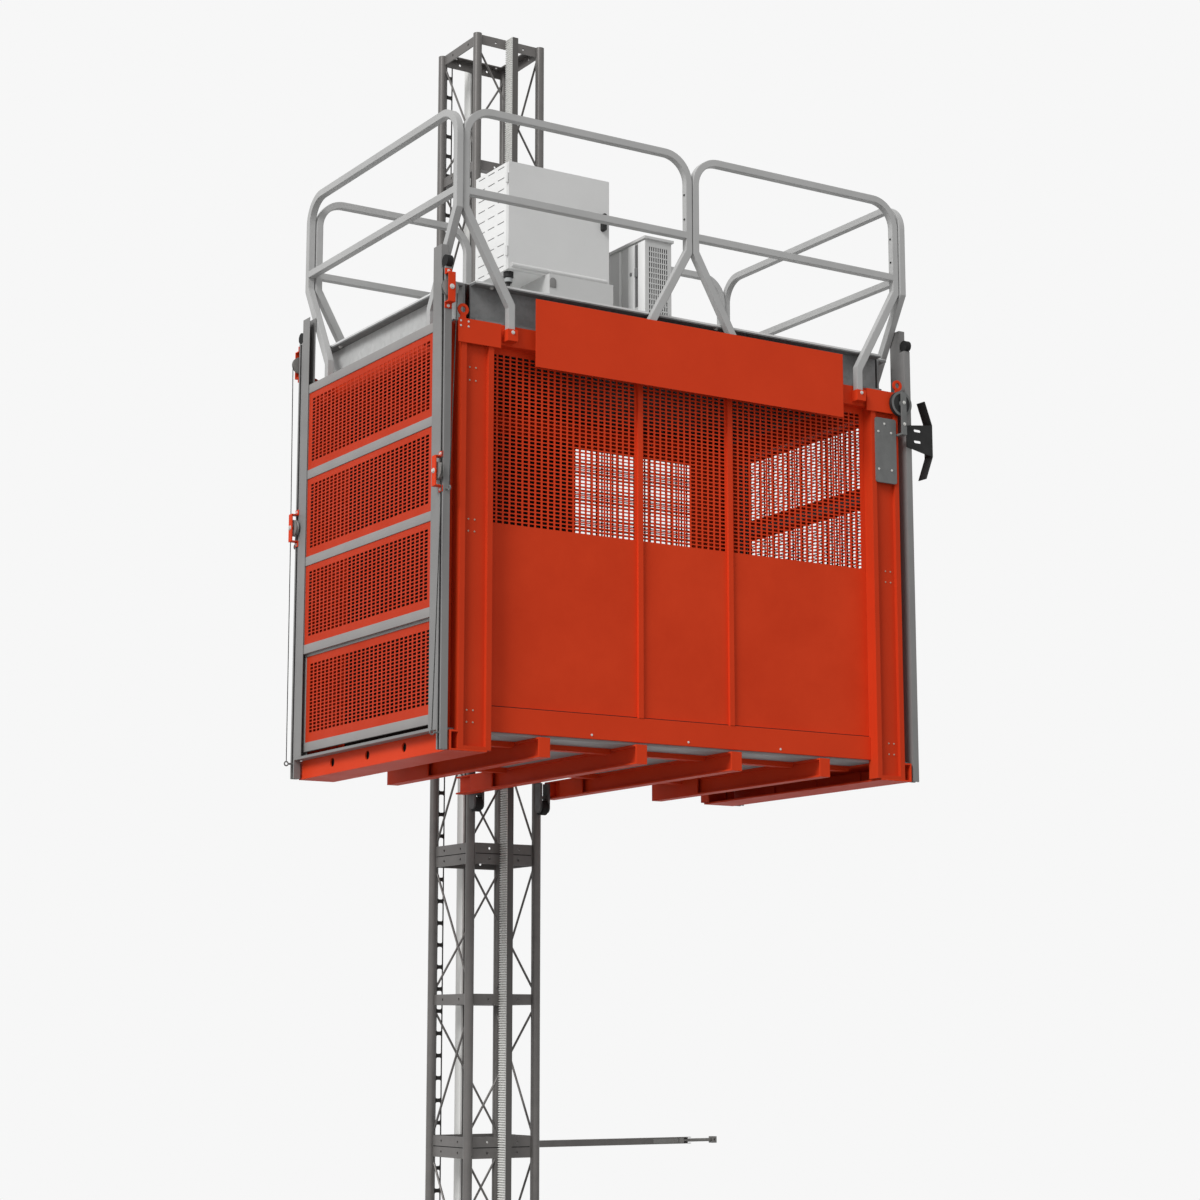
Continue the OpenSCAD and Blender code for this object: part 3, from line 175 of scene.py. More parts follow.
@dataclass(frozen=True)
class Finish:
    """A procedural finish: two colours that a slow pattern mixes, with gloss and a fine relief."""

    name: str
    colour: str
    worn: str
    slot: str
    metallic: float = 0.0
    roughness: float = 0.45
    roughness_play: float = 0.1
    patch_scale: float = 3.0
    fine_scale: float = 300.0
    relief: float = 0.05
    edge: float = 0.0
    grain: Grain = Grain.PAINT
    specular: float = 0.25

    def tinted(self, name: str, colour: str, worn: str, **changes: object) -> Finish:
        """Returns this finish under another name, with other colours and other changes."""
        return replace(self, name=name, colour=colour, worn=worn, **changes)

    def material(self) -> bpy.types.Material:
        """Returns the material of this finish, made the first time it is asked for."""
        found = bpy.data.materials.get(self.name)
        return found if found else FinishNodes(self).build()


class FinishNodes:
    """Builds the node tree of one finish."""

    SLOW = {"Detail": 6.0, "Roughness": 0.6}
    SLOW_LIMITS = (0.32, 0.72)
    FINE = {"Detail": 2.0, "Roughness": 0.5}
    BUMP_DISTANCE = 0.002
    BEVEL_SAMPLES = 4

    def __init__(self, finish: Finish) -> None:
        """Starts an empty material.

        Args:
            finish: the finish to build.
        """
        self.finish = finish
        self.mat = bpy.data.materials.new(finish.name)
        self.tree = fresh(self.mat)

    def add(self, kind: str, inputs: Sockets | None = None, **props: object) -> bpy.types.Node:
        """Adds one node to the material and returns it."""
        return add_node(self.tree, kind, inputs, **props)

    def span(self, value: Socket, limits: Span, to: Span) -> Socket:
        """Maps value from its limits to a new range and returns the result."""
        node = self.add(
            "ShaderNodeMapRange",
            {"Value": value, "From Min": limits[0], "From Max": limits[1], "To Min": to[0], "To Max": to[1]},
        )
        return node.outputs["Result"]

    def pattern(self, place: Socket) -> Socket:
        """Returns the slow pattern of the finish, from 0 to 1."""
        look = self.finish
        if look.grain is Grain.SPANGLE:
            cells = self.add("ShaderNodeTexVoronoi", {"Vector": place, "Scale": look.patch_scale})
            return self.add("ShaderNodeSeparateColor", {"Color": cells.outputs["Color"]}).outputs[0]
        if look.grain is Grain.TEETH:
            across = self.add("ShaderNodeSeparateXYZ", {"Vector": place}).outputs["X"]
            return self.span(across, (TOOTH_ROOT + MM, TOOTH_ROOT - MM), (0.0, 1.0))
        noise = self.add("ShaderNodeTexNoise", {"Vector": place, "Scale": look.patch_scale, **self.SLOW})
        return self.span(noise.outputs["Fac"], self.SLOW_LIMITS, (0.0, 1.0))

    def build(self) -> bpy.types.Material:
        """Returns the finished material."""
        look = self.finish
        coords = self.add("ShaderNodeTexCoord").outputs["Object"]
        slow = self.pattern(coords)
        fine = self.add("ShaderNodeTexNoise", {"Vector": coords, "Scale": look.fine_scale, **self.FINE})
        bump = self.add(
            "ShaderNodeBump",
            {"Strength": look.relief, "Distance": self.BUMP_DISTANCE, "Height": fine.outputs["Fac"]},
        )
        if look.edge > 0.0:
            round_off = self.add("ShaderNodeBevel", {"Radius": look.edge}, samples=self.BEVEL_SAMPLES)
            self.tree.links.new(round_off.outputs["Normal"], bump.inputs["Normal"])
        shader = self.add(
            "ShaderNodeBsdfPrincipled",
            {
                "Base Color": blend(self.tree, slow, hex_colour(look.colour), hex_colour(look.worn)),
                "Metallic": look.metallic,
                "Roughness": self.span(
                    slow, (0.0, 1.0), (look.roughness, look.roughness + look.roughness_play)
                ),
                "Specular IOR Level": look.specular,
                "Normal": bump.outputs["Normal"],
            },
        )
        self.add("ShaderNodeOutputMaterial", {"Surface": shader.outputs["BSDF"]})
        return self.mat


RED = Finish(
    "red_powder_coat", "D8401D", "D03C1B", "red_paint", 0.0, 0.5, 0.1, 2.6, 700.0, 0.03, 0.0025, specular=0.1
)
RED_SHEET = RED.tinted("red_sheet_coat", "D8411E", "CE3B1A", patch_scale=3.4, edge=0.0)
# Darker copy of the red: painted shade of the recessed post webs, also on the fillers beside the posts.
SHADED_POST_RED = RED.tinted("red_post_painted_shade", "CB3C1B", "C43819")
# Darker copy of the sheet red for the gate sheets: painted shade of the gate frames over them.
SHADED_GATE_RED = RED_SHEET.tinted("red_gate_painted_shade", "BE381B", "B63418")
# Dark lining inside the car: painted shade, seen through the slots and the gaps.
SHADE_LINING = Finish("painted_shade_lining", "221511", "1C110E", "red_paint", 0.0, 0.7, 0.1, 6.0, 500.0, 0.05)
ZINC = Finish("dull_zinc", "878685", "807F7E", "galvanised", 0.05, 0.45, 0.1, 4.0, 500.0, 0.03, 0.002)
GATE_ZINC = ZINC.tinted("gate_zinc", "94918F", "8D8A89")
ROOF_ZINC = ZINC.tinted("roof_zinc", "838484", "7B7C7C", patch_scale=60.0, grain=Grain.SPANGLE)
# Lighter copy of the roof zinc: painted light of the sunlit side webs.
LIT_ROOF_SIDE = ROOF_ZINC.tinted("roof_side_painted_light", "BDBEBD", "B4B5B4", patch_scale=40.0, edge=0.0)
ROOF_SKIN = Finish("roof_skin", "DADBDA", "D2D3D2", "galvanised", 0.05, 0.42, 0.1, 40.0, 500.0, 0.03)
DARK_ZINC = Finish("dark_zinc", "727372", "686968", "galvanised", 0.05, 0.45, 0.1, 20.0, 600.0, 0.04, 0.0015)
MAST_ZINC = Finish("mast_zinc", "726F6D", "686664", "mast_steel", 0.25, 0.3, 0.1, 9.0, 500.0, 0.03, 0.0015)
STRIP = Finish("dark_strip", "3C3A38", "32302F", "mast_steel", 0.05, 0.45, 0.1, 12.0, 500.0, 0.04)
GROUND_STEEL = Finish(
    "ground_steel", "8E8D8A", "807F7C", "machined_steel", 0.2, 0.36, 0.12, 20.0, 600.0, 0.05
)
RACK = GROUND_STEEL.tinted(
    "rack_steel",
    "5C5A58",
    "E4E4E1",
    metallic=0.1,
    roughness=0.4,
    roughness_play=0.0,
    relief=0.03,
    grain=Grain.TEETH,
)
ZINC_BOLT = Finish("zinc_bolt", "D6D6D2", "C8C8C4", "machined_steel", 0.2, 0.36, 0.1, 60.0, 800.0, 0.04)
RIVET = ZINC_BOLT.tinted("dull_rivet", "B8A08E", "A8907E", metallic=0.1, roughness=0.4)
RAIL = Finish("satin_rail", "B4B4B3", "ACACAB", "rail_aluminium", 0.05, 0.4, 0.1, 5.0, 600.0, 0.03, 0.006)
FLOOR_PLATE = Finish("floor_plate", "A0A0A0", "949494", "floor_aluminium", 0.05, 0.45, 0.1, 6.0, 500.0, 0.05)
WHITE = Finish(
    "white_powder_coat", "EBEBEA", "E5E5E4", "white_paint", 0.0, 0.45, 0.08, 2.5, 900.0, 0.04, 0.003
)
DOOR_WHITE = WHITE.tinted("door_powder_coat", "DADAD9", "D4D4D3")
BOX_GREY = WHITE.tinted("box_powder_coat", "CACAC9", "C4C4C3")
# Grey of the slits and the slot: painted shade of openings, on flat blocks.
SLIT_SHADE = Finish("painted_slit_shade", "6A6A6A", "626262", "white_paint", 0.0, 0.7, 0.1, 20.0, 500.0, 0.05)
BLACK_STEEL = Finish(
    "blackened_plate", "262626", "1C1C1C", "black_steel", 0.1, 0.5, 0.12, 12.0, 600.0, 0.05, 0.002
)
# Dark for the joints between mast sections, and painted shade: the shadow line over the kick rails and the
# dark behind the end beam holes and the grille.
DARK = Finish("painted_shade_and_joint_dark", "121212", "181818", "black_steel", 0.0, 0.8, 0.1, 20.0, 500.0, 0.05)
MOTOR = Finish("machine_paint", "6B6C6C", "5E5F5F", "motor_grey", 0.1, 0.5, 0.1, 8.0, 500.0, 0.08)
RUBBER = Finish("black_rubber", "1B1B1B", "242424", "rubber", 0.0, 0.75, 0.1, 20.0, 700.0, 0.12)
NYLON = Finish("black_nylon", "222222", "2B2B2B", "polyamide", 0.0, 0.5, 0.1, 20.0, 700.0, 0.06)
CLEAR = Finish("cloudy_plastic", "A9ABAB", "9DA0A0", "polyamide", 0.0, 0.4, 0.1, 30.0, 700.0, 0.05)
ROPE = Finish("rope_wire", "4A4A48", "363634", "rope_steel", 0.6, 0.45, 0.15, 80.0, 900.0, 0.1)


class GeometryTree:
    """A geometry node tree with named inputs that ends in realised instances and one material."""

    KINDS = {float: "NodeSocketFloat", int: "NodeSocketInt", bpy.types.Material: "NodeSocketMaterial"}

    def __init__(self, name: str, sizes: Iterable[str], counts: Iterable[str] = ()) -> None:
        """Starts the tree.

        Args:
            name: the tree's name.
            sizes: the names of its inputs that are lengths.
            counts: the names of its inputs that are whole numbers.
        """
        inputs = {**dict.fromkeys(sizes, float), **dict.fromkeys(counts, int), "Material": bpy.types.Material}
        self.group = bpy.data.node_groups.new(name, "GeometryNodeTree")
        face = self.group.interface
        face.new_socket("Geometry", in_out="OUTPUT", socket_type="NodeSocketGeometry")
        face.new_socket("Carrier", in_out="INPUT", socket_type="NodeSocketGeometry")
        self.ids = [
            face.new_socket(key, in_out="INPUT", socket_type=self.KINDS[kind]).identifier
            for key, kind in inputs.items()
        ]
        self.inlet = self.group.nodes.new("NodeGroupInput")
        self.outlet = self.group.nodes.new("NodeGroupOutput")

    def get(self, key: str) -> Socket:
        """Returns the socket of a named input."""
        return self.inlet.outputs[key]

    def add(self, kind: str, inputs: Sockets | None = None, **props: object) -> bpy.types.Node:
        """Adds one node, whose type may lack the prefix of geometry nodes, and returns it."""
        known = kind if kind.startswith(("ShaderNode", "FunctionNode")) else "GeometryNode" + kind
        return add_node(self.group, known, inputs, **props)

    def make(self, kind: str, inputs: Sockets | None = None, **props: object) -> Socket:
        """Adds one node and returns its first output."""
        return self.add(kind, inputs, **props).outputs[0]

    def sum(self, kind: str, *values: object) -> Socket:
        """Returns the result of a math node of that kind."""
        return self.make("ShaderNodeMath", dict(enumerate(values)), operation=kind)

    def vector(self, x: object = 0.0, y: object = 0.0, z: object = 0.0) -> Socket:
        """Returns a vector made of three numbers or sockets."""
        return self.make("ShaderNodeCombineXYZ", {0: x, 1: y, 2: z})

    def oblong(self, width: Socket, height: Socket) -> Socket:
        """Returns the outline of an oblong round the origin."""
        return self.make("CurvePrimitiveQuadrilateral", {"Width": width, "Height": height})

    def join(self, *parts: Socket) -> Socket:
        """Returns several geometries as one."""
        return self.make("JoinGeometry", {0: list(parts)})

    def fill(self, *outlines: Socket) -> Socket:
        """Returns the face between outlines."""
        return self.make("FillCurve", {"Curve": self.join(*outlines)}, mode="TRIANGLES")

    def move(self, geometry: Socket, shift: Socket) -> Socket:
        """Returns a geometry moved by a vector."""
        return self.make("Transform", {"Geometry": geometry, "Translation": shift})

    def repeat(self, one: Socket) -> Socket:
        """Returns instances of a geometry in the tree's columns and rows, at its pitches."""
        size = {}
        for axis, count in (("X", "Columns"), ("Y", "Rows")):
            gaps = self.sum("SUBTRACT", self.get(count), 1.0)
            size[f"Size {axis}"] = self.sum("MULTIPLY", self.get(f"Pitch {axis}"), gaps)
            size[f"Vertices {axis}"] = self.get(count)
        return self.make("InstanceOnPoints", {"Points": self.make("MeshGrid", size), "Instance": one})

    def close(self, geometry: Socket) -> None:
        """Ends the tree in realised instances and the material.

        Args:
            geometry: what the tree has made.
        """
        real = self.make("RealizeInstances", {"Geometry": geometry})
        dressed = self.make("SetMaterial", {"Geometry": real, "Material": self.get("Material")})
        self.group.links.new(dressed, self.outlet.inputs[0])

    def grow(
        self, values: Iterable[float], finish: Finish, carrier: bpy.types.Mesh | None = None
    ) -> bpy.types.Mesh:
        """Runs the tree and returns a plain mesh.

        Args:
            values: the sizes and then the counts, in the order of the tree's inputs.
            finish: the finish of the result.
            carrier: the mesh that the tree starts from.

        Returns:
            A new mesh with the realised result.
        """
        holder = show("carrier", carrier or bpy.data.meshes.new("carrier"))
        modifier = holder.modifiers.new("grow", "NODES")
        modifier.node_group = self.group
        for key, value in zip(self.ids, (*values, finish.material()), strict=True):
            modifier[key] = value
        graph = bpy.context.evaluated_depsgraph_get()
        mesh = bpy.data.meshes.new_from_object(holder.evaluated_get(graph), depsgraph=graph)
        holder.modifiers.remove(modifier)
        bpy.data.objects.remove(holder)
        return mesh


def perforation_tree(fillet_points: int = 2, weld: float = 0.01) -> GeometryTree:
    """Makes the tree of a perforated sheet in X and Y, its face at Z 0 and its back above it.

    Args:
        fillet_points: the points of each rounded corner of a slot.
        weld: how near points are that become one.

    Returns:
        The tree.
    """
    sizes = ("Width", "Height", "Pitch X", "Pitch Y", "Slot Length", "Slot Height", "Corner", "Thickness")
    tree = GeometryTree("perforated_sheet", (*sizes, "Shift X", "Shift Y"), ("Columns", "Rows"))
    get, make, calc = tree.get, tree.make, tree.sum
    cell = tree.oblong(get("Pitch X"), get("Pitch Y"))
    hole = tree.oblong(get("Slot Length"), get("Slot Height"))
    hole = make("FilletCurve", {"Curve": hole, "Count": fillet_points, "Radius": get("Corner")}, mode="POLY")
    tiles = make("RealizeInstances", {0: tree.repeat(tree.fill(cell, hole))})
    window = tree.oblong(
        calc("MULTIPLY", get("Pitch X"), get("Columns")), calc("MULTIPLY", get("Pitch Y"), get("Rows"))
    )
    shift = tree.vector(get("Shift X"), get("Shift Y"))
    border = tree.fill(tree.oblong(get("Width"), get("Height")), tree.move(window, shift))
    flat = tree.join(tree.move(tiles, shift), border)
    flat = make("MergeByDistance", {"Geometry": flat, "Distance": weld})
    raised = make(
        "ExtrudeMesh",
        {"Mesh": flat, "Offset": tree.vector(z=1.0), "Offset Scale": get("Thickness"), "Individual": False},
    )
    tree.close(tree.join(raised, make("FlipFaces", {"Mesh": flat})))
    return tree


def fastener_tree(washer_sides: int = 12) -> GeometryTree:
    """Returns the tree that puts a washer and a head on each point of the carrier, along its facing."""
    sizes = ("Head Radius", "Head Height", "Washer Radius", "Washer Height")
    tree = GeometryTree("fasteners", sizes, ("Sides",))
    get, make = tree.get, tree.make
    seat, height = get("Washer Height"), get("Head Height")
    washer = make("MeshCylinder", {"Vertices": washer_sides, "Radius": get("Washer Radius"), "Depth": seat})
    head = make("MeshCylinder", {"Vertices": get("Sides"), "Radius": get("Head Radius"), "Depth": height})
    washer = tree.move(washer, tree.vector(z=tree.sum("MULTIPLY", seat, 0.5)))
    head = tree.move(head, tree.vector(z=tree.sum("MULTIPLY_ADD", height, 0.5, seat)))
    facing = make("InputNamedAttribute", {"Name": "facing"}, data_type="FLOAT_VECTOR")
    set_on = make(
        "InstanceOnPoints",
        {
            "Points": tree.inlet.outputs[0],
            "Instance": tree.join(washer, head),
            "Rotation": make("FunctionNodeAlignRotationToVector", {"Vector": facing}, axis="Z"),
            "Scale": make("InputNamedAttribute", {"Name": "size"}, data_type="FLOAT"),
        },
    )
    tree.close(set_on)
    return tree


def slit_tree() -> GeometryTree:
    """Returns the tree of a field of small blocks in X and Y, in columns and rows."""
    sizes = ("Pitch X", "Pitch Y", "Length", "Height", "Depth")
    tree = GeometryTree("slit_field", sizes, ("Columns", "Rows"))
    get = tree.get
    block = tree.make("MeshCube", {"Size": tree.vector(get("Length"), get("Height"), get("Depth"))})
    tree.close(tree.repeat(block))
    return tree


def rope_tree(strands: int = 6, flats: int = 5) -> GeometryTree:
    """Makes the tree that lays twisted strands round the carrier's line, six of their radii thick.

    Args:
        strands: how many strands there are.
        flats: how many flats the round of a strand has.

    Returns:
        The tree.
    """
    tree = GeometryTree("laid_rope", ("Strand Radius", "Lay", "Step"))
    get, make, calc = tree.get, tree.make, tree.sum
    line = make("MeshToCurve", {0: tree.inlet.outputs[0]})
    line = make("ResampleCurve", {"Curve": line, "Length": get("Step")}, mode="LENGTH")
    copies = tree.add("DuplicateElements", {"Geometry": line, "Amount": strands}, domain="SPLINE")
    along = tree.add("SplineParameter").outputs["Length"]
    angle = calc("MULTIPLY", calc("DIVIDE", along, get("Lay")), math.tau)
    angle = calc("MULTIPLY_ADD", copies.outputs["Duplicate Index"], math.tau / strands, angle)
    normal = make("InputNormal")
    side = make("ShaderNodeVectorMath", {0: make("InputTangent"), 1: normal}, operation="CROSS_PRODUCT")
    reach = calc("MULTIPLY", get("Strand Radius"), 2.0)
    arms = [
        make(
            "ShaderNodeVectorMath",
            {0: way, "Scale": calc("MULTIPLY", reach, calc(wave, angle))},
            operation="SCALE",
        )
        for way, wave in ((normal, "COSINE"), (side, "SINE"))
    ]
    offset = make("ShaderNodeVectorMath", dict(enumerate(arms)), operation="ADD")
    laid = make("SetPosition", {"Geometry": copies.outputs[0], "Offset": offset})
    ring = make("CurvePrimitiveCircle", {"Resolution": flats, "Radius": get("Strand Radius")})
    tree.close(make("CurveToMesh", {"Curve": laid, "Profile Curve": ring, "Fill Caps": True}))
    return tree


class Draft:
    """The faces of one piece, in millimetres in the row frame."""

    BLOCK = ((0, 2, 3, 1), (4, 5, 7, 6), (0, 1, 5, 4), (2, 6, 7, 3), (0, 4, 6, 2), (1, 3, 7, 5))
    WELD = 0.002
    SLIVER = 0.001
    SHARP = 40.0
    BEVEL_STEPS = 2
    BEVEL_PROFILE = 0.6

    def __init__(self) -> None:
        """Starts with nothing."""
        self.bm = bmesh.new()

    def faces(self, points: Iterable[Point], faces: Iterable[Sequence[int]]) -> None:
        """Adds faces given by the numbers of their points."""
        corners = [self.bm.verts.new(point) for point in points]
        for face in faces:
            self.bm.faces.new([corners[i] for i in face])

    def box(self, one: Point, other: Point) -> None:
        """Adds a block between two opposite corners, given in any order."""
        xs, ys, zs = (sorted(pair) for pair in zip(one, other))
        self.faces([(x, y, z) for z in zs for y in ys for x in xs], self.BLOCK)

    def block(self, one: Point, other: Point, ends: Point = (1.0,), walls: Point = (1.0,)) -> None:
        """Adds a block of the car and its mirror images.

        Args:
            one: a corner, its X and Y from the car's middle.
            other: the opposite corner.
            ends: the signs that X is taken with.
            walls: the signs that Y is taken with.
        """
        for end in ends:
            for wall in walls:
                self.box(*((end * x, CAR_Y + wall * y, z) for x, y, z in (one, other)))

    def prism(self, outline: Sequence[Span], axis: Axis, low: float, high: float) -> None:
        """Draws a flat outline along an axis.

        Args:
            outline: points in the other two axes, in X, Y, Z order.
            axis: the axis that it is drawn along.
            low: where it starts.
            high: where it ends.
        """
        count = len(outline)
        points = []
        for level in (low, high):
            for u, v in outline:
                point = [u, v]
                point.insert(axis.value, level)
                points.append(point)
        sides = [(i, (i + 1) % count, (i + 1) % count + count, i + count) for i in range(count)]
        self.faces(points, [tuple(range(count)), tuple(range(count, 2 * count)), *sides])

    def lathe(self, profile: Sequence[Span], base: Point, along: Point, sides: int) -> None:
        """Turns a profile about a line.

        Args:
            profile: radius and distance along the line, point by point; a radius of 0 closes it.
            base: where the line starts.
            along: the line's direction.
            sides: how many flats the round has.
        """
        ahead = Vector(along).normalized()
        up = ahead.orthogonal().normalized()
        side = ahead.cross(up)
        centre = Vector(base)
        spokes = [
            up * math.cos(angle) + side * math.sin(angle)
            for angle in (math.tau * k / sides for k in range(sides))
        ]
        points = [centre + ahead * level + spoke * radius for radius, level in profile for spoke in spokes]
        faces = []
        for start in range(0, (len(profile) - 1) * sides, sides):
            for k in range(sides):
                here, after = start + k, start + (k + 1) % sides
                faces.append((here, after, after + sides, here + sides))
        self.faces(points, faces)

    def mesh(self, mesh: bpy.types.Mesh, place: Matrix | None = None) -> None:
        """Adds a mesh, moved by place, and removes it."""
        if place is not None:
            mesh.transform(place)
        self.bm.from_mesh(mesh)
        bpy.data.meshes.remove(mesh)

    def piece(
        self, name: str, finish: Finish, body: str = "car", bevel: float = 0.0, smooth: float = 32.0
    ) -> bpy.types.Object:
        """Turns the draft into a piece that rides on a body.

        Args:
            name: the piece's name.
            finish: its finish.
            body: the body that it moves with.
            bevel: how far its sharp edges are rounded off.
            smooth: the angle in degrees below which an edge is shaded smooth.

        Returns:
            The object.
        """
        bm = self.bm
        bmesh.ops.remove_doubles(bm, verts=bm.verts, dist=self.WELD)
        bmesh.ops.dissolve_degenerate(bm, edges=bm.edges, dist=self.SLIVER)
        bmesh.ops.recalc_face_normals(bm, faces=bm.faces)
        if bevel > 0.0:
            turn = math.radians(self.SHARP)
            bmesh.ops.bevel(
                bm,
                geom=[e for e in bm.edges if len(e.link_faces) == 2 and e.calc_face_angle(0.0) > turn],
                offset=bevel,
                segments=self.BEVEL_STEPS,
                profile=self.BEVEL_PROFILE,
                affect="EDGES",
                clamp_overlap=True,
            )
        mesh = bpy.data.meshes.new(name)
        bm.to_mesh(mesh)
        bm.free()
        mesh.transform(Matrix.Scale(MM, 4))
        mesh.materials.clear()
        mesh.materials.append(finish.material())
        mesh.polygons.foreach_set("use_smooth", [True] * len(mesh.polygons))
        mesh.polygons.foreach_set("material_index", [0] * len(mesh.polygons))
        mesh.set_sharp_from_angle(angle=math.radians(smooth))
        made = show(name, mesh)
        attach(made, body)
        LOG.info("%s: %d faces on %s", name, len(mesh.polygons), body)
        return made


def upright_x(x: float, y: float, z: float, out: float) -> Matrix:
    """Places a sheet drawn in X and Y on a plane of constant X, its thickness towards out (1 or -1)."""
    return Matrix(((0, 0, out, x), (-out, 0, 0, y), (0, 1, 0, z), (0, 0, 0, 1)))


def upright_y(x: float, y: float, z: float, out: float) -> Matrix:
    """Places a sheet drawn in X and Y on a plane of constant Y, its thickness towards out (1 or -1)."""
    return Matrix(((out, 0, 0, x), (0, 0, out, y), (0, 1, 0, z), (0, 0, 0, 1)))


@dataclass
class Fasteners:
    """Bolt heads or rivets of the car, gathered and then set by one node tree."""

    name: str
    finish: Finish
    kind: Head = Head.BOLT
    spots: list[tuple[Point, Point, float]] = field(default_factory=list)

    def put(self, place: Point, facing: Point, size: float) -> None:
        """Notes one head, its seat, the way that it faces and its width across in millimetres."""
        self.spots.append((place, facing, size))

    def build(self, tree: GeometryTree) -> None:
        """Sets all the noted heads as one piece."""
        carrier = bpy.data.meshes.new(self.name)
        carrier.from_pydata([place for place, _, _ in self.spots], [], [])
        facing = carrier.attributes.new("facing", "FLOAT_VECTOR", "POINT")
        facing.data.foreach_set("vector", [value for _, way, _ in self.spots for value in way])
        size = carrier.attributes.new("size", "FLOAT", "POINT")
        size.data.foreach_set("value", [value for _, _, value in self.spots])
        draft = Draft()
        draft.mesh(tree.grow(self.kind.value, self.finish, carrier))
        draft.piece(self.name, self.finish)


@dataclass(frozen=True)
class HeadRow:
    """Heads of one size on a wall of the car, at each crossing of some places and some levels."""

    places: tuple[float, ...]
    levels: tuple[float, ...]
    depth: float
    across: float

    def put(self, heads: Fasteners, wall: float, facing: Point | None = None) -> None:
        """Notes the heads.

        Args:
            heads: what they are noted in.
            wall: the wall, -1 for the front and 1 for the rear.
            facing: the way that they face, outwards if it is left out.
        """
        for x in self.places:
            for z in self.levels:
                heads.put((x, CAR_Y + wall * self.depth, z), facing or (0.0, wall, 0.0), self.across)


@dataclass(frozen=True)
class Perforation:
    """The slot pattern of one kind of sheet, in millimetres."""

    pitch_x: float
    pitch_z: float
    slot: float
    height: float
    corner: float = 2.2
    thickness: float = 2.5

    def sheet(
        self, tree: GeometryTree, size: Span, count: tuple[int, int], shift: Span, finish: Finish
    ) -> bpy.types.Mesh:
        """Makes one perforated sheet round its middle.

        Args:
            tree: the tree of perforated sheets.
            size: its width and height.
            count: its columns and rows of slots.
            shift: where the middle of the slots lies from the middle of the sheet.
            finish: its finish.

        Returns:
            The sheet's mesh.
        """
        slot = (self.pitch_x, self.pitch_z, self.slot, self.height, self.corner, self.thickness)
        return tree.grow((*size, *slot, *shift, *count), finish)


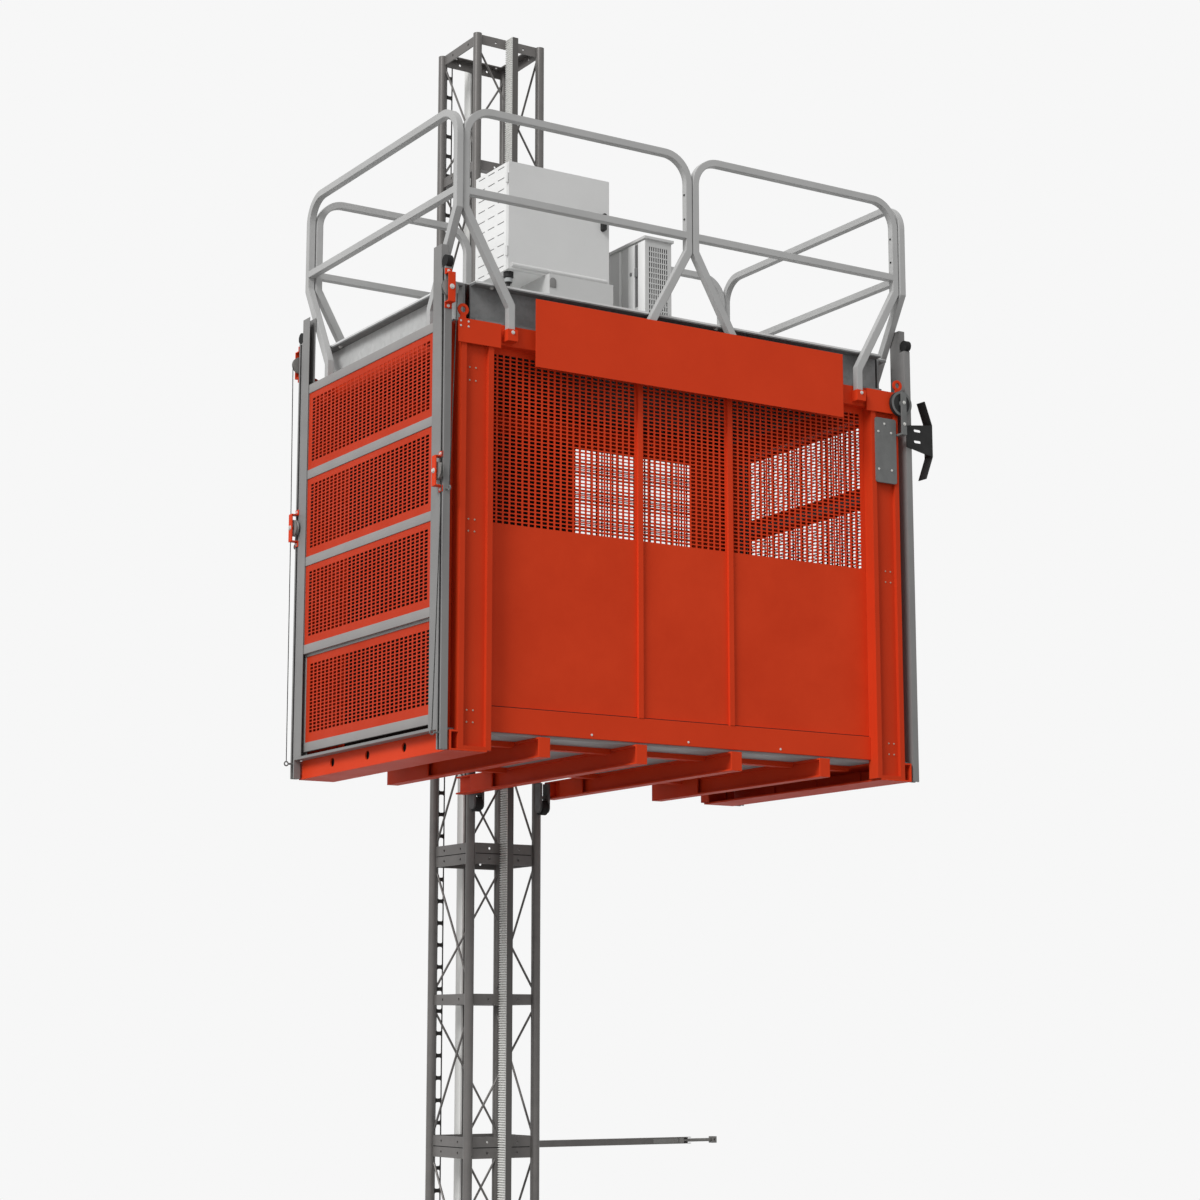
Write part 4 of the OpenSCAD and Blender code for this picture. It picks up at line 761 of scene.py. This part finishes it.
@dataclass
class CarWalls:
    """The long walls: rails, perforated sheets above, plain sheets below, and a dark lining inside that is
    painted shade.
    """

    edge: float = 1094.6
    rib: float = 260.0
    rear_rib: float = 215.0
    rear_window: float = 622.0
    columns: tuple[int, int, int] = (23, 14, 23)
    rear_columns: int = 22
    joint: float = 0.6
    seam: Span = (3531.5, 3536.0)
    seam_height: float = 0.5
    low: float = 3417.0
    high: float = 5203.0
    solid: float = 4366.0
    first_row: float = 4384.0
    rows: int = 43
    wall_y: float = 702.0
    rail_end: float = 1094.7
    kick: Span = (13.0, 114.0)
    rib_size: Span = (28.0, 15.0)
    rail_plate: float = 6.0
    rail_depth: float = 60.0
    rail_top: float = 5300.0
    rail_y: float = 750.0
    end_rail: Span = (1265.0, 698.0)
    filler: Quad = (1265.2, 1317.5, 692.0, 697.5)
    filler_levels: Span = (3420.0, 5290.0)
    corner: Quad = (1100.0, 1215.8, 685.0, 697.5)
    corner_levels: Span = (5262.0, 5475.0)
    lining_margin: float = 2.0
    lining_foot: float = 8.0
    lining_plate: float = 1.2
    lining_depths: Span = (12.0, 4.0)
    floor_lining: Span = (0.5, 6.0)
    ceiling: float = 5304.0
    ceiling_plate: float = 3.0
    ceiling_inset: float = 20.0
    pattern: Perforation = Perforation(34.4, 18.62, 25.4, 12.6)

    def rails(self) -> None:
        """Builds the kick rails, the ribs over the seams of the sheets and the channels round the top."""
        rails = Draft()
        end, face, foot = self.rail_end, self.wall_y, self.low + self.kick[1]
        rails.block((-end, face, self.low), (end, face + self.kick[0], foot), walls=SIDES)
        half, rise = self.rib_size[0] / 2, self.rib_size[1]
        for seam, wall in zip((self.rib, self.rear_rib), SIDES):
            rails.block((seam - half, face, foot), (seam + half, face + rise, self.high), SIDES, (wall,))
        (end_x, end_y), y = self.end_rail, self.rail_y
        levels = (self.high, self.high + self.rail_plate, self.rail_top - self.rail_plate, self.rail_top)
        depths = (self.rail_depth, self.rail_plate, self.rail_depth)
        for low, high, depth in zip(levels, levels[1:], depths):
            rails.block((-end, y, low), (end, y - depth, high), walls=SIDES)
            rails.block((end_x, -end_y, low), (end_x - depth, end_y, high), SIDES)
        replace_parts(rails.piece("wall_rails", RED), "wall_frame")

    def fillers(self) -> None:
        """Closes the gaps between corner posts and gate posts with strips in the darker post red, a painted
        shade, and those under the roof's rear corners with the dark lining, also painted shade.
        """
        for name, finish, (x0, x1, y0, y1), (low, high), walls in (
            ("post_fillers", SHADED_POST_RED, self.filler, self.filler_levels, SIDES),
            ("roof_corner_painted_shade", SHADE_LINING, self.corner, self.corner_levels, SIDES[1:]),
        ):
            strips = Draft()
            strips.block((x0, y0, low), (x1, y1, high), SIDES, walls)
            strips.piece(name, finish)

    def panel(
        self, draft: Draft, tree: GeometryTree, span: Span, columns: int, out: float, shift: float = 0.0
    ) -> None:
        """Adds one sheet with slots above its solid part.

        Args:
            draft: what the sheet is added to.
            tree: the tree of perforated sheets.
            span: where the sheet starts and ends along the wall.
            columns: its columns of slots.
            out: the way that it faces, -1 for the front wall and 1 for the rear wall.
            shift: how far the slots lie from the middle of the sheet.
        """
        y = CAR_Y + out * self.wall_y
        size = (span[1] - span[0] - self.joint, self.high - self.low)
        middle_z = (self.high + self.low) / 2
        slots_z = self.first_row + (self.rows - 1) * self.pattern.pitch_z / 2
        grown = self.pattern.sheet(tree, size, (columns, self.rows), (shift, slots_z - middle_z), RED_SHEET)
        draft.mesh(grown, upright_y(sum(span) / 2, y - out * self.pattern.thickness, middle_z, out))

    def sheets(self, tree: GeometryTree) -> None:
        """Builds the sheets of both walls and the dark strips over the kick rails, a painted shadow line."""
        front, rear, seams = Draft(), Draft(), Draft()
        edges = (-self.edge, -self.rib, self.rib, self.edge)
        for span, columns in zip(zip(edges, edges[1:]), self.columns):
            self.panel(front, tree, span, columns, SIDES[0])
        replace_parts(front.piece("front_wall_sheets", RED_SHEET), "front_panels")
        shift = self.rear_window - (self.rear_rib + self.edge) / 2
        self.panel(rear, tree, (self.rear_rib, self.edge), self.rear_columns, SIDES[1], shift)
        half, face = self.joint / 2, self.wall_y
        for x0, x1 in ((-self.edge, -self.rear_rib), (-self.rear_rib, self.rear_rib)):
            rear.block((x0 + half, face - self.pattern.thickness, self.low), (x1 - half, face, self.high))
        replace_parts(rear.piece("rear_wall_sheets", RED_SHEET), "rear_panels")
        # Dark strip over each kick rail: a painted shadow line under the sheets.
        low, high = self.seam
        seams.block((-self.edge, face, low), (self.edge, face + self.seam_height, high), walls=SIDES)
        seams.piece("kick_rail_painted_shadow", DARK)

    def lining(self) -> None:
        """Builds the dark lining of the rear wall, the floor and the ceiling: painted shade behind the slots.
        """
        lining = Draft()
        edge, margin, inset = self.edge, self.lining_margin, self.ceiling_inset
        front, rear = self.lining_depths[0] - self.wall_y, self.wall_y - self.lining_depths[1]
        edges = (-edge, -self.rear_rib, self.rear_rib, edge)
        foot, tops = self.low + self.lining_foot, (self.high - margin, self.high - margin, self.solid)
        for x0, x1, top in zip(edges, edges[1:], tops):
            lining.block((x0 + margin, rear, foot), (x1 - margin, rear + self.lining_plate, top))
        low, high = (self.low + level for level in self.floor_lining)
        lining.block((-edge, front, low), (edge, rear, high))
        low, high = self.ceiling - self.ceiling_plate, self.ceiling
        lining.block((-edge, front + inset, low), (edge, rear - inset, high))
        lining.piece("car_painted_shade_lining", SHADE_LINING)

    def build(self, tree: GeometryTree) -> None:
        """Builds the rails, the sheets and the painted-shade lining of the front and the rear wall.

        Args:
            tree: the tree of perforated sheets.
        """
        self.rails()
        self.fillers()
        self.sheets(tree)
        self.lining()


@dataclass
class GateLeaf:
    """One leaf of a lift gate: a zinc frame with perforated red sheets."""

    side: str
    level: str
    windows: int
    rail: float = 45.0
    half_open: float = 655.0
    half_frame: float = 715.0
    stile_gap: float = 2.0
    stile_inset: float = 1.0
    stile_end: float = 0.2
    bevel: float = 1.2
    columns: int = 29
    slot_margin: float = 66.0
    slot_shift: float = 4.0
    face_depth: float = 4.0
    pattern: Perforation = Perforation(42.9, 17.23, 31.0, 12.0)

    def build(self, tree: GeometryTree) -> None:
        """Builds the frame and the sheets of the leaf.

        Args:
            tree: the tree of perforated sheets.
        """
        node = f"{self.side}_gate_{self.level}"
        low, high = (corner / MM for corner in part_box(node))
        out = -1.0 if self.side == "left" else 1.0
        bars, sheets = Draft(), Draft()
        pane = (high.z - low.z - self.rail * (self.windows + 1)) / self.windows
        step = pane + self.rail
        for i in range(self.windows + 1):
            z = low.z + i * step
            bars.block((low.x, -self.half_frame, z), (high.x, self.half_frame, z + self.rail))
        feet = [low.z + self.rail + i * step for i in range(self.windows)]
        inset, end, stile = self.stile_inset, self.stile_end, self.half_open + self.stile_gap
        for z in feet:
            foot, head = z + end, z + pane - end
            bars.block((low.x + inset, stile, foot), (high.x - inset, self.half_frame, head), walls=SIDES)
        size, shift = (2 * self.half_open, pane), (0.0, self.slot_shift)
        count = (self.columns, int((pane - self.slot_margin) / self.pattern.pitch_z))
        face = (low.x if out < 0 else high.x) - out * self.face_depth
        for z in feet:
            # The gate sheets take the darker red, a painted shade.
            grown = self.pattern.sheet(tree, size, count, shift, SHADED_GATE_RED)
            sheets.mesh(grown, upright_x(face - out * self.pattern.thickness, CAR_Y, z + pane / 2, out))
        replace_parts(bars.piece(f"{node}_frame", GATE_ZINC, node, self.bevel), node)
        sheets.piece(f"{node}_sheets", SHADED_GATE_RED, node)


@dataclass
class GateRopes:
    """The two ropes of the left gate, over their sheaves."""

    diameter: float = 5.0
    strand_radii: float = 6.0
    top: Triple = (-1339.0, 787.0, 5421.0)
    side: Triple = (-1370.0, 750.0, 4569.0)
    track: float = 39.8
    steps: int = 18
    upper_eye: Span = (802.0, 4487.0)
    lower_eye: Span = (-1385.0, 3389.0)
    eye_rise: float = 13.6
    lay: float = 30.0
    step: float = 5.0
    smooth: float = 60.0

    def path(self, wall: float) -> list[Triple]:
        """Returns the rope's line from its upper eye to its lower eye, on the wall -1 or 1."""
        (top_x, top_y, top_z), (side_x, side_y, side_z) = self.top, self.side
        points = [(top_x, CAR_Y + wall * self.upper_eye[0], self.upper_eye[1] + self.eye_rise)]
        for k in range(self.steps + 1):
            angle = math.pi * k / self.steps
            across, up = math.cos(angle) * self.track, math.sin(angle) * self.track
            points.append((top_x + across, CAR_Y + wall * top_y, top_z + up))
        points.append((side_x, CAR_Y + wall * (side_y + self.track), side_z))
        points.append((self.lower_eye[0], CAR_Y + wall * side_y, self.lower_eye[1] + self.eye_rise))
        return points

    def build(self, tree: GeometryTree) -> None:
        """Builds each rope of laid strands.

        Args:
            tree: the tree of laid ropes.
        """
        for wall, name in zip(SIDES, ("near", "far")):
            points = self.path(wall)
            carrier = bpy.data.meshes.new("rope_line")
            carrier.from_pydata(points, [(i, i + 1) for i in range(len(points) - 1)], [])
            draft = Draft()
            strand = self.diameter / self.strand_radii
            draft.mesh(tree.grow((strand, self.lay, self.step), ROPE, carrier))
            rope = draft.piece(f"{name}_gate_rope", ROPE, smooth=self.smooth)
            line = [Vector(point) * MM for point in points]
            if wall < 0:
                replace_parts(rope, "gate_ropes")


@dataclass
class CarHardware:
    """Bolts, rivets and screws of the car, the feet of the sheave straps and the end beams' backs, the left
    ones dark as painted shade.
    """

    rivets: HeadRow = HeadRow(
        (-1212.0, -1180.0, 1180.0, 1212.0), (5075.0, 5014.0, 4368.0, 4313.0, 3500.0, 3446.0), 750.0, 8.0
    )
    head_bolts: HeadRow = HeadRow((-1275.0, -1235.0, 1235.0, 1275.0), (5279.0, 5256.0), 778.0, 7.0)
    kick_bolts: HeadRow = HeadRow((-532.0, 5.0, 542.0), (3435.0,), 715.0, 8.0)
    bar_bolts: HeadRow = HeadRow((1266.0,), (5235.0, 5123.0), 823.0, 13.0)
    clamp_bolts: HeadRow = HeadRow((-1013.0, 1013.0), (5257.0,), 800.0, 13.0)
    rear_clamp_bolts: HeadRow = HeadRow((-265.0, 265.0), (5257.0,), 800.0, 13.0)
    roof_bolts: HeadRow = HeadRow((-1085.0, -215.0, 175.0, 1085.0), (5476.0,), 726.0, 16.0)
    side_bolts: HeadRow = HeadRow((-1238.0, 1238.0), (5476.0,), 535.0, 16.0)
    cover_top_bolt: HeadRow = HeadRow((1171.0,), (5121.0,), 778.0, 9.0)
    cover_bolts: HeadRow = HeadRow((1132.0, 1214.0), (5078.0, 4884.0), 778.0, 9.0)
    screws: HeadRow = HeadRow((-37.0, 1241.0), (6107.0, 5983.0), 771.0, 10.0)
    strap_reach: float = 70.0
    strap_half: float = 18.0
    strap_foot: float = 24.0
    strap_x: float = -1353.0
    strap_bevel: float = 1.0
    foot_plate: float = 4.0
    foot_bolt: float = 11.0
    axle_nut: float = 17.0
    top_nut_y: float = 809.0
    side_nut_x: float = -1392.0
    hole_places: tuple[float, ...] = (-338.0, 31.0, 400.0)
    hole_x: float = 1292.0
    shade_half: float = 40.0
    shade_levels: Span = (3331.0, 3397.0)
    shade_plate: float = 2.0

    def strap_feet(self, bolts: Fasteners) -> None:
        """Adds the feet of the straps over the left sheaves, their bolts and the axle nuts."""
        feet = Draft()
        (top_x, _, top_z), (_, side_y, side_z) = GateRopes.top, GateRopes.side
        half, left, cover = self.strap_half, self.strap_x - self.foot_plate, HALF_D + self.foot_plate
        for way in SIDES:
            near, far = way * self.strap_reach, way * (self.strap_reach + self.strap_foot)
            feet.block((top_x - half, HALF_D, top_z + near), (top_x + half, cover, top_z + far), walls=SIDES)
            low, high = side_z + near, side_z + far
            feet.block((left, side_y - half, low), (self.strap_x, side_y + half, high), walls=SIDES)
        middle, bolt, nut = self.strap_reach + self.strap_foot / 2, self.foot_bolt, self.axle_nut
        for wall in SIDES:
            HeadRow((top_x,), (top_z - middle, top_z + middle), cover, bolt).put(bolts, wall)
            HeadRow((left,), (side_z - middle, side_z + middle), side_y, bolt).put(bolts, wall, LEFT)
            HeadRow((top_x,), (top_z,), self.top_nut_y, nut).put(bolts, wall)
            HeadRow((self.side_nut_x,), (side_z,), side_y, nut).put(bolts, wall, LEFT)
        feet.piece("sheave_strap_feet", RED, bevel=self.strap_bevel)

    def shades(self) -> None:
        """Closes the inside of the end beams behind their holes: dark plates at the left end, painted shade,
        and red plates at the right end.
        """
        (low, high), half, inner = self.shade_levels, self.shade_half, self.hole_x - self.shade_plate
        # The dark plates at the left end are painted shade inside the beam.
        for name, finish, end in zip(("end_beam_painted_shade", "end_beam_backs"), (DARK, RED), SIDES):
            shades = Draft()
            for y in self.hole_places:
                shades.block((self.hole_x, y - half, low), (inner, y + half, high), (end,))
            shades.piece(name, finish)

    def build(self, tree: GeometryTree) -> None:
        """Sets all the heads.

        Args:
            tree: the tree of fasteners.
        """
        bolts = Fasteners("car_bolts", ZINC_BOLT)
        rivets = Fasteners("car_rivets", RIVET, Head.RIVET)
        screws = Fasteners("rail_screws", BLACK_STEEL, Head.RIVET)
        for wall in SIDES:
            self.rivets.put(rivets, wall)
            for row in (self.head_bolts, self.kick_bolts, self.bar_bolts, self.clamp_bolts):
                row.put(bolts, wall)
            for row in (self.roof_bolts, self.side_bolts):
                row.put(bolts, wall, DOWN)
        self.rear_clamp_bolts.put(bolts, SIDES[1])
        self.cover_top_bolt.put(bolts, SIDES[0])
        self.cover_bolts.put(bolts, SIDES[0])
        self.screws.put(screws, SIDES[0], LEFT)
        self.strap_feet(bolts)
        self.shades()
        for heads in (bolts, rivets, screws):
            heads.build(tree)


@dataclass
class RoofBoxes:
    """Trim of the control cabinet and of the control box beside it."""

    side_x: float = -664.0
    louvre_middle: Span = (-1186.0, 6079.5)
    louvre_pitch: Span = (97.0, 57.0)
    louvre_count: tuple[int, int] = (3, 10)
    louvre: Triple = (62.0, 3.0, 1.2)
    hood: Triple = (64.0, 5.0, 3.0)
    hood_rise: float = 4.0
    door_y: float = -1361.0
    bar: Span = (-646.0, -96.0)
    bar_level: float = 5821.0
    bar_radius: float = 11.0
    arc_steps: int = 10
    tab: Quad = (-450.0, -414.0, 5728.0, 5778.0)
    tab_plate: float = 4.0
    tab_bevel: float = 0.8
    plinth_y: float = -1400.0
    gland: Triple = (-631.0, -1305.0, 5746.0)
    gland_profile: tuple[Span, ...] = ((14.0, 0.0), (20.0, 0.0), (20.0, 20.0), (14.0, 20.0))
    flats: int = 24
    box_x: float = 118.0
    box_bevel: float = 1.0
    folds: tuple[Triple, ...] = (
        (-1400.0, -1336.0, 4.0),
        (-1303.0, -1246.0, 5.0),
        (-1175.0, -1156.0, 3.0),
    )
    fold_levels: Span = (5505.0, 6070.0)
    gap: Quad = (-1333.0, -1306.0, 5735.0, 6065.0)
    gap_plate: float = 0.8
    lock: Span = (-1272.0, 5919.0)
    lock_profile: tuple[Span, ...] = ((0.0, 9.0), (8.0, 9.0), (10.0, 7.0), (10.0, 0.0))
    latch: Quad = (-1329.0, -1309.0, 5895.0, 5941.0)
    latch_depth: float = 8.0
    shade: Quad = (124.0, 270.0, 5496.0, 6074.0)
    shade_faces: Span = (-1393.0, -1392.0)

    def louvres(self, tree: GeometryTree) -> None:
        """Adds the slits of the cabinet's left side, as grey blocks painted with their shade, and the hoods
        over them.
        """
        field_y, field_z = self.louvre_middle
        for name, finish, size, rise in (
            ("cabinet_slits", SLIT_SHADE, self.louvre, 0.0),
            ("cabinet_hoods", WHITE, self.hood, self.hood_rise),
        ):
            grown = tree.grow((*self.louvre_pitch, *size, *self.louvre_count), finish)
            draft = Draft()
            draft.mesh(grown, upright_x(self.side_x, field_y, field_z + rise, SIDES[0]))
            draft.piece(name, finish)

    def cabinet(self) -> None:
        """Adds the drip bar of the door, the tab on the plinth and the ring of the gland."""
        bar, tab, ring = Draft(), Draft(), Draft()
        arc = [math.pi * k / self.arc_steps for k in range(self.arc_steps + 1)]
        radius = self.bar_radius
        outline = [(self.door_y - radius * math.sin(a), self.bar_level + radius * math.cos(a)) for a in arc]
        bar.prism(outline, Axis.X, *self.bar)
        bar.piece("door_drip_bar", DOOR_WHITE, "cabinet_door")
        x0, x1, z0, z1 = self.tab
        radius, middle = (x1 - x0) / 2, (x0 + x1) / 2
        outline = [(x0, z0), (x1, z0)]
        outline += [(middle + radius * math.cos(a), z1 - radius + radius * math.sin(a)) for a in arc]
        tab.prism(outline, Axis.Y, self.plinth_y - self.tab_plate, self.plinth_y)
        tab.piece("plinth_tab", ZINC, bevel=self.tab_bevel)
        ring.lathe(self.gland_profile, self.gland, (0.0, 0.0, 1.0), self.flats)
        ring.piece("gland_ring", CLEAR)

    def control(self) -> None:
        """Adds the folds of the control box in a whiter coat, a painted highlight, the slot as a grey plate,
        painted shade, the lock, and a dark plate behind its grille, also painted shade.
        """
        folds, gap, shade, lock = Draft(), Draft(), Draft(), Draft()
        low, high = self.fold_levels
        for y0, y1, height in self.folds:
            folds.box((self.box_x - height, y0, low), (self.box_x, y1, high))
        # The folds are real; their coat, whiter than the box grey, is a painted highlight.
        folds.piece("control_box_folds_painted_highlight", WHITE, bevel=self.box_bevel)
        y0, y1, z0, z1 = self.gap
        gap_x = self.box_x - self.gap_plate
        gap.box((gap_x, y0, z0), (self.box_x, y1, z1))
        # The slot is a flush grey plate: painted shade of the gap.
        gap.piece("control_box_slot_shade", SLIT_SHADE)
        x0, x1, z0, z1 = self.shade
        shade.box((x0, self.shade_faces[0], z0), (x1, self.shade_faces[1], z1))
        # Dark plate behind the grille: painted shade inside the box.
        shade.piece("grille_painted_shade", DARK)
        lock.lathe(self.lock_profile, (self.box_x, *self.lock), LEFT, self.flats)
        y0, y1, z0, z1 = self.latch
        lock.box((self.box_x - self.latch_depth, y0, z0), (gap_x, y1, z1))
        lock.piece("control_box_lock", ROOF_ZINC, bevel=self.box_bevel)

    def build(self, tree: GeometryTree) -> None:
        """Builds all the trim.

        Args:
            tree: the tree of fields of small blocks.
        """
        self.louvres(tree)
        self.cabinet()
        self.control()


@dataclass
class Edges:
    """The bright edge of the roof, the seams of the mast and the rims of the right sheaves."""

    roof_half: Span = (1183.0, 747.0)
    side_half: Span = (1264.0, 686.0)
    roof_levels: Span = (5482.0, 5491.0)
    lip: float = 1.6
    web: float = 1215.0
    web_levels: Span = (5311.2, 5475.8)
    web_skin: float = 0.8
    mast_half: float = 200.0
    seam_half: float = 168.0
    seam: float = 2.2
    seam_height: float = 0.5
    section: float = 1508.0
    sections: int = 5
    sheave: Triple = (1266.0, 804.0, 5233.0)
    rim: Span = (51.0, 64.5)
    rim_height: float = 0.7
    rim_flats: int = 48

    def roof(self) -> None:
        """Adds the bright edge round the roof and lighter skins on its ends, a painted highlight of the
        sunlit side webs.
        """
        edge, skins = Draft(), Draft()
        (long_x, long_y), (end_x, end_y), (low, high) = self.roof_half, self.side_half, self.roof_levels
        edge.block((-long_x, long_y, low), (long_x, long_y + self.lip, high), walls=SIDES)
        edge.block((end_x, -end_y, low), (end_x + self.lip, end_y, high), SIDES)
        edge.piece("roof_edge_trim", ROOF_SKIN)
        # Thin lighter skins on the side webs: painted light, as the webs are the same zinc as the front.
        low, high = self.web_levels
        skins.block((self.web, -end_y, low), (self.web + self.web_skin, end_y, high), SIDES)
        skins.piece("roof_side_painted_light_skins", LIT_ROOF_SIDE)

    def seams(self) -> None:
        """Adds the thin dark lines where one mast section stands on the next."""
        seams = Draft()
        half = self.seam_half
        for level in range(1, self.sections):
            low, high = (level * self.section + side * self.seam for side in SIDES)
            for side in SIDES:
                near, far = side * self.mast_half, side * (self.mast_half + self.seam_height)
                seams.box((-half, near, low), (half, far, high))
                seams.box((near, -half, low), (far, half, high))
        seams.piece("mast_seams", DARK, "mast")

    def rims(self) -> None:
        """Adds a bright rim to each right sheave."""
        rims = Draft()
        x, y, z = self.sheave
        (inner, outer), height = self.rim, self.rim_height
        profile = [(inner, 0.0), (outer, 0.0), (outer, height), (inner, height), (inner, 0.0)]
        for wall in SIDES:
            rims.lathe(profile, (x, CAR_Y + wall * y, z), (0.0, wall, 0.0), self.rim_flats)
        rims.piece("right_sheave_rims", DARK_ZINC, "right_top_sheaves")

    def build(self) -> None:
        """Builds all the edges."""
        self.roof()
        self.seams()
        self.rims()


class Dresser:
    """Gives every solid that stays in view its finish."""

    NODES: dict[Finish, str] = {
        MAST_ZINC: "mast_section_1 mast_section_2 mast_section_3 mast_section_4 mast_section_5 wall_tie",
        RACK: "racks",
        STRIP: "slotted_strip",
        GROUND_STEEL: "wall_tie_end drive_pinion safety_pinion counter_roller "
        "left_top_sheaves left_near_sheave left_far_sheave",
        ZINC_BOLT: "mast_bolts",
        RED: "floor_beams end_beams head_plates sign_panel guard_rail_clamps sheave_straps",
        SHADED_POST_RED: "corner_posts",
        ROOF_SKIN: "roof_plate",
        ROOF_ZINC: "roof_frame machine_frame gearbox safety_device",
        ZINC: "gate_posts rope_rails gate_sills",
        DARK_ZINC: "rope_fittings cover_plate",
        RAIL: "guard_rail_front guard_rail_rear guard_rail_left guard_rail_right",
        FLOOR_PLATE: "floor_plate",
        WHITE: "cabinet_body",
        DOOR_WHITE: "cabinet_door",
        BOX_GREY: "control_box cabinet_plinth",
        BLACK_STEEL: "landing_cam",
        MOTOR: "drive_motor guide_brackets",
        RUBBER: "gate_buffers lower_guide_rollers upper_guide_rollers",
        NYLON: "cable_gland cabinet_handle right_top_sheaves",
    }

    def dress(self) -> None:
        """Assigns the finishes to the slots of the solids."""
        for finish, names in self.NODES.items():
            for name in names.split():
                solid = frame["nodes"][name]
                for slot in solid.material_slots:
                    slot.material = finish.material()
                LOG.info("%s: %s", name, finish.name)


@dataclass
class Studio:
    """Floor, light and camera."""

    floor_radius: float = 13.0
    floor_segments: int = 96
    floor_level: float = -0.002
    floor_return: float = 0.34
    floor_seen: float = 0.86
    sky: float = 0.4
    sky_slope: float = 0.9
    bright_side: Triple = (-0.8, -0.55, 0.2)
    paper: float = 0.93
    sun: float = 2.25
    sun_spread: float = 25.0
    sun_side: Triple = (-0.75, -0.3, 0.62)
    lens: float = 74.61
    sensor: float = 36.0
    sight: float = 200.0
    place: Triple = (-6.559, -11.573, 2.054)
    yaw: float = 32.19
    pitch: float = 10.03

    @staticmethod
    def seen(tree: Tree) -> Socket:
        """Returns a value of 1 on rays that show the stage to the camera, straight or in a reflection."""
        path = add_node(tree, "ShaderNodeLightPath").outputs
        total = path["Is Camera Ray"]
        for key in ("Is Glossy Ray", "Is Transmission Ray"):
            total = add_node(tree, "ShaderNodeMath", {0: total, 1: path[key]}, operation="MAXIMUM").outputs[0]
        return total

    def floor(self) -> None:
        """Lays a pale round floor that gives little light back to the underside."""
        bm = bmesh.new()
        bmesh.ops.create_circle(bm, cap_ends=True, segments=self.floor_segments, radius=self.floor_radius)
        mesh = bpy.data.meshes.new("floor")
        bm.to_mesh(mesh)
        bm.free()
        floor = show("floor", mesh)
        floor.location = (0.0, 0.0, self.floor_level)
        mat = bpy.data.materials.new("pale_floor")
        tree = fresh(mat)
        colour = blend(tree, self.seen(tree), grey(self.floor_return), grey(self.floor_seen))
        shader = add_node(tree, "ShaderNodeBsdfDiffuse", {"Color": colour})
        add_node(tree, "ShaderNodeOutputMaterial", {"Surface": shader.outputs[0]})
        mesh.materials.append(mat)

    def light(self) -> None:
        """Sets the sky and one soft lamp from the upper left."""
        world = bpy.data.worlds.new("studio")
        bpy.context.scene.world = world
        tree = fresh(world)
        way = add_node(tree, "ShaderNodeTexCoord").outputs["Generated"]
        bright = Vector(self.bright_side).normalized()
        side = add_node(tree, "ShaderNodeVectorMath", {0: way, 1: bright}, operation="DOT_PRODUCT")
        level = add_node(
            tree,
            "ShaderNodeMapRange",
            {
                "Value": side.outputs["Value"],
                "From Min": -1.0,
                "To Min": self.sky * (1 - self.sky_slope),
                "To Max": self.sky * (1 + self.sky_slope),
            },
        )
        colour = blend(tree, self.seen(tree), level.outputs["Result"], grey(self.paper))
        back = add_node(tree, "ShaderNodeBackground", {"Color": colour})
        add_node(tree, "ShaderNodeOutputWorld", {"Surface": back.outputs[0]})
        lamp = bpy.data.lights.new("key", "SUN")
        lamp.energy = self.sun
        lamp.angle = math.radians(self.sun_spread)
        show("key", lamp).rotation_euler = Vector(self.sun_side).to_track_quat("Z", "Y").to_euler()

    def camera(self) -> None:
        """Places the camera where the photograph was taken from."""
        data = bpy.data.cameras.new("camera")
        data.lens = self.lens
        data.sensor_width = self.sensor
        data.clip_end = self.sight
        eye = show("camera", data)
        eye.location = self.place
        eye.rotation_euler = (math.radians(90.0 + self.pitch), 0.0, math.radians(-self.yaw))
        bpy.context.scene.camera = eye

    def build(self) -> None:
        """Builds the whole studio."""
        bpy.context.scene.view_settings.view_transform = "Standard"
        self.floor()
        self.light()
        self.camera()


def main() -> None:
    """Builds the looks of the hoist in order."""
    logging.basicConfig(level=logging.INFO, format="%(message)s")
    Studio().build()
    GateRopes().build(rope_tree())
    Dresser().dress()
    sheets = perforation_tree()
    CarWalls().build(sheets)
    for side in ("left", "right"):
        GateLeaf(side, "upper", 3).build(sheets)
        GateLeaf(side, "lower", 1).build(sheets)
    CarHardware().build(fastener_tree())
    RoofBoxes().build(slit_tree())
    Edges().build()


if __name__ == "__main__":
    main()
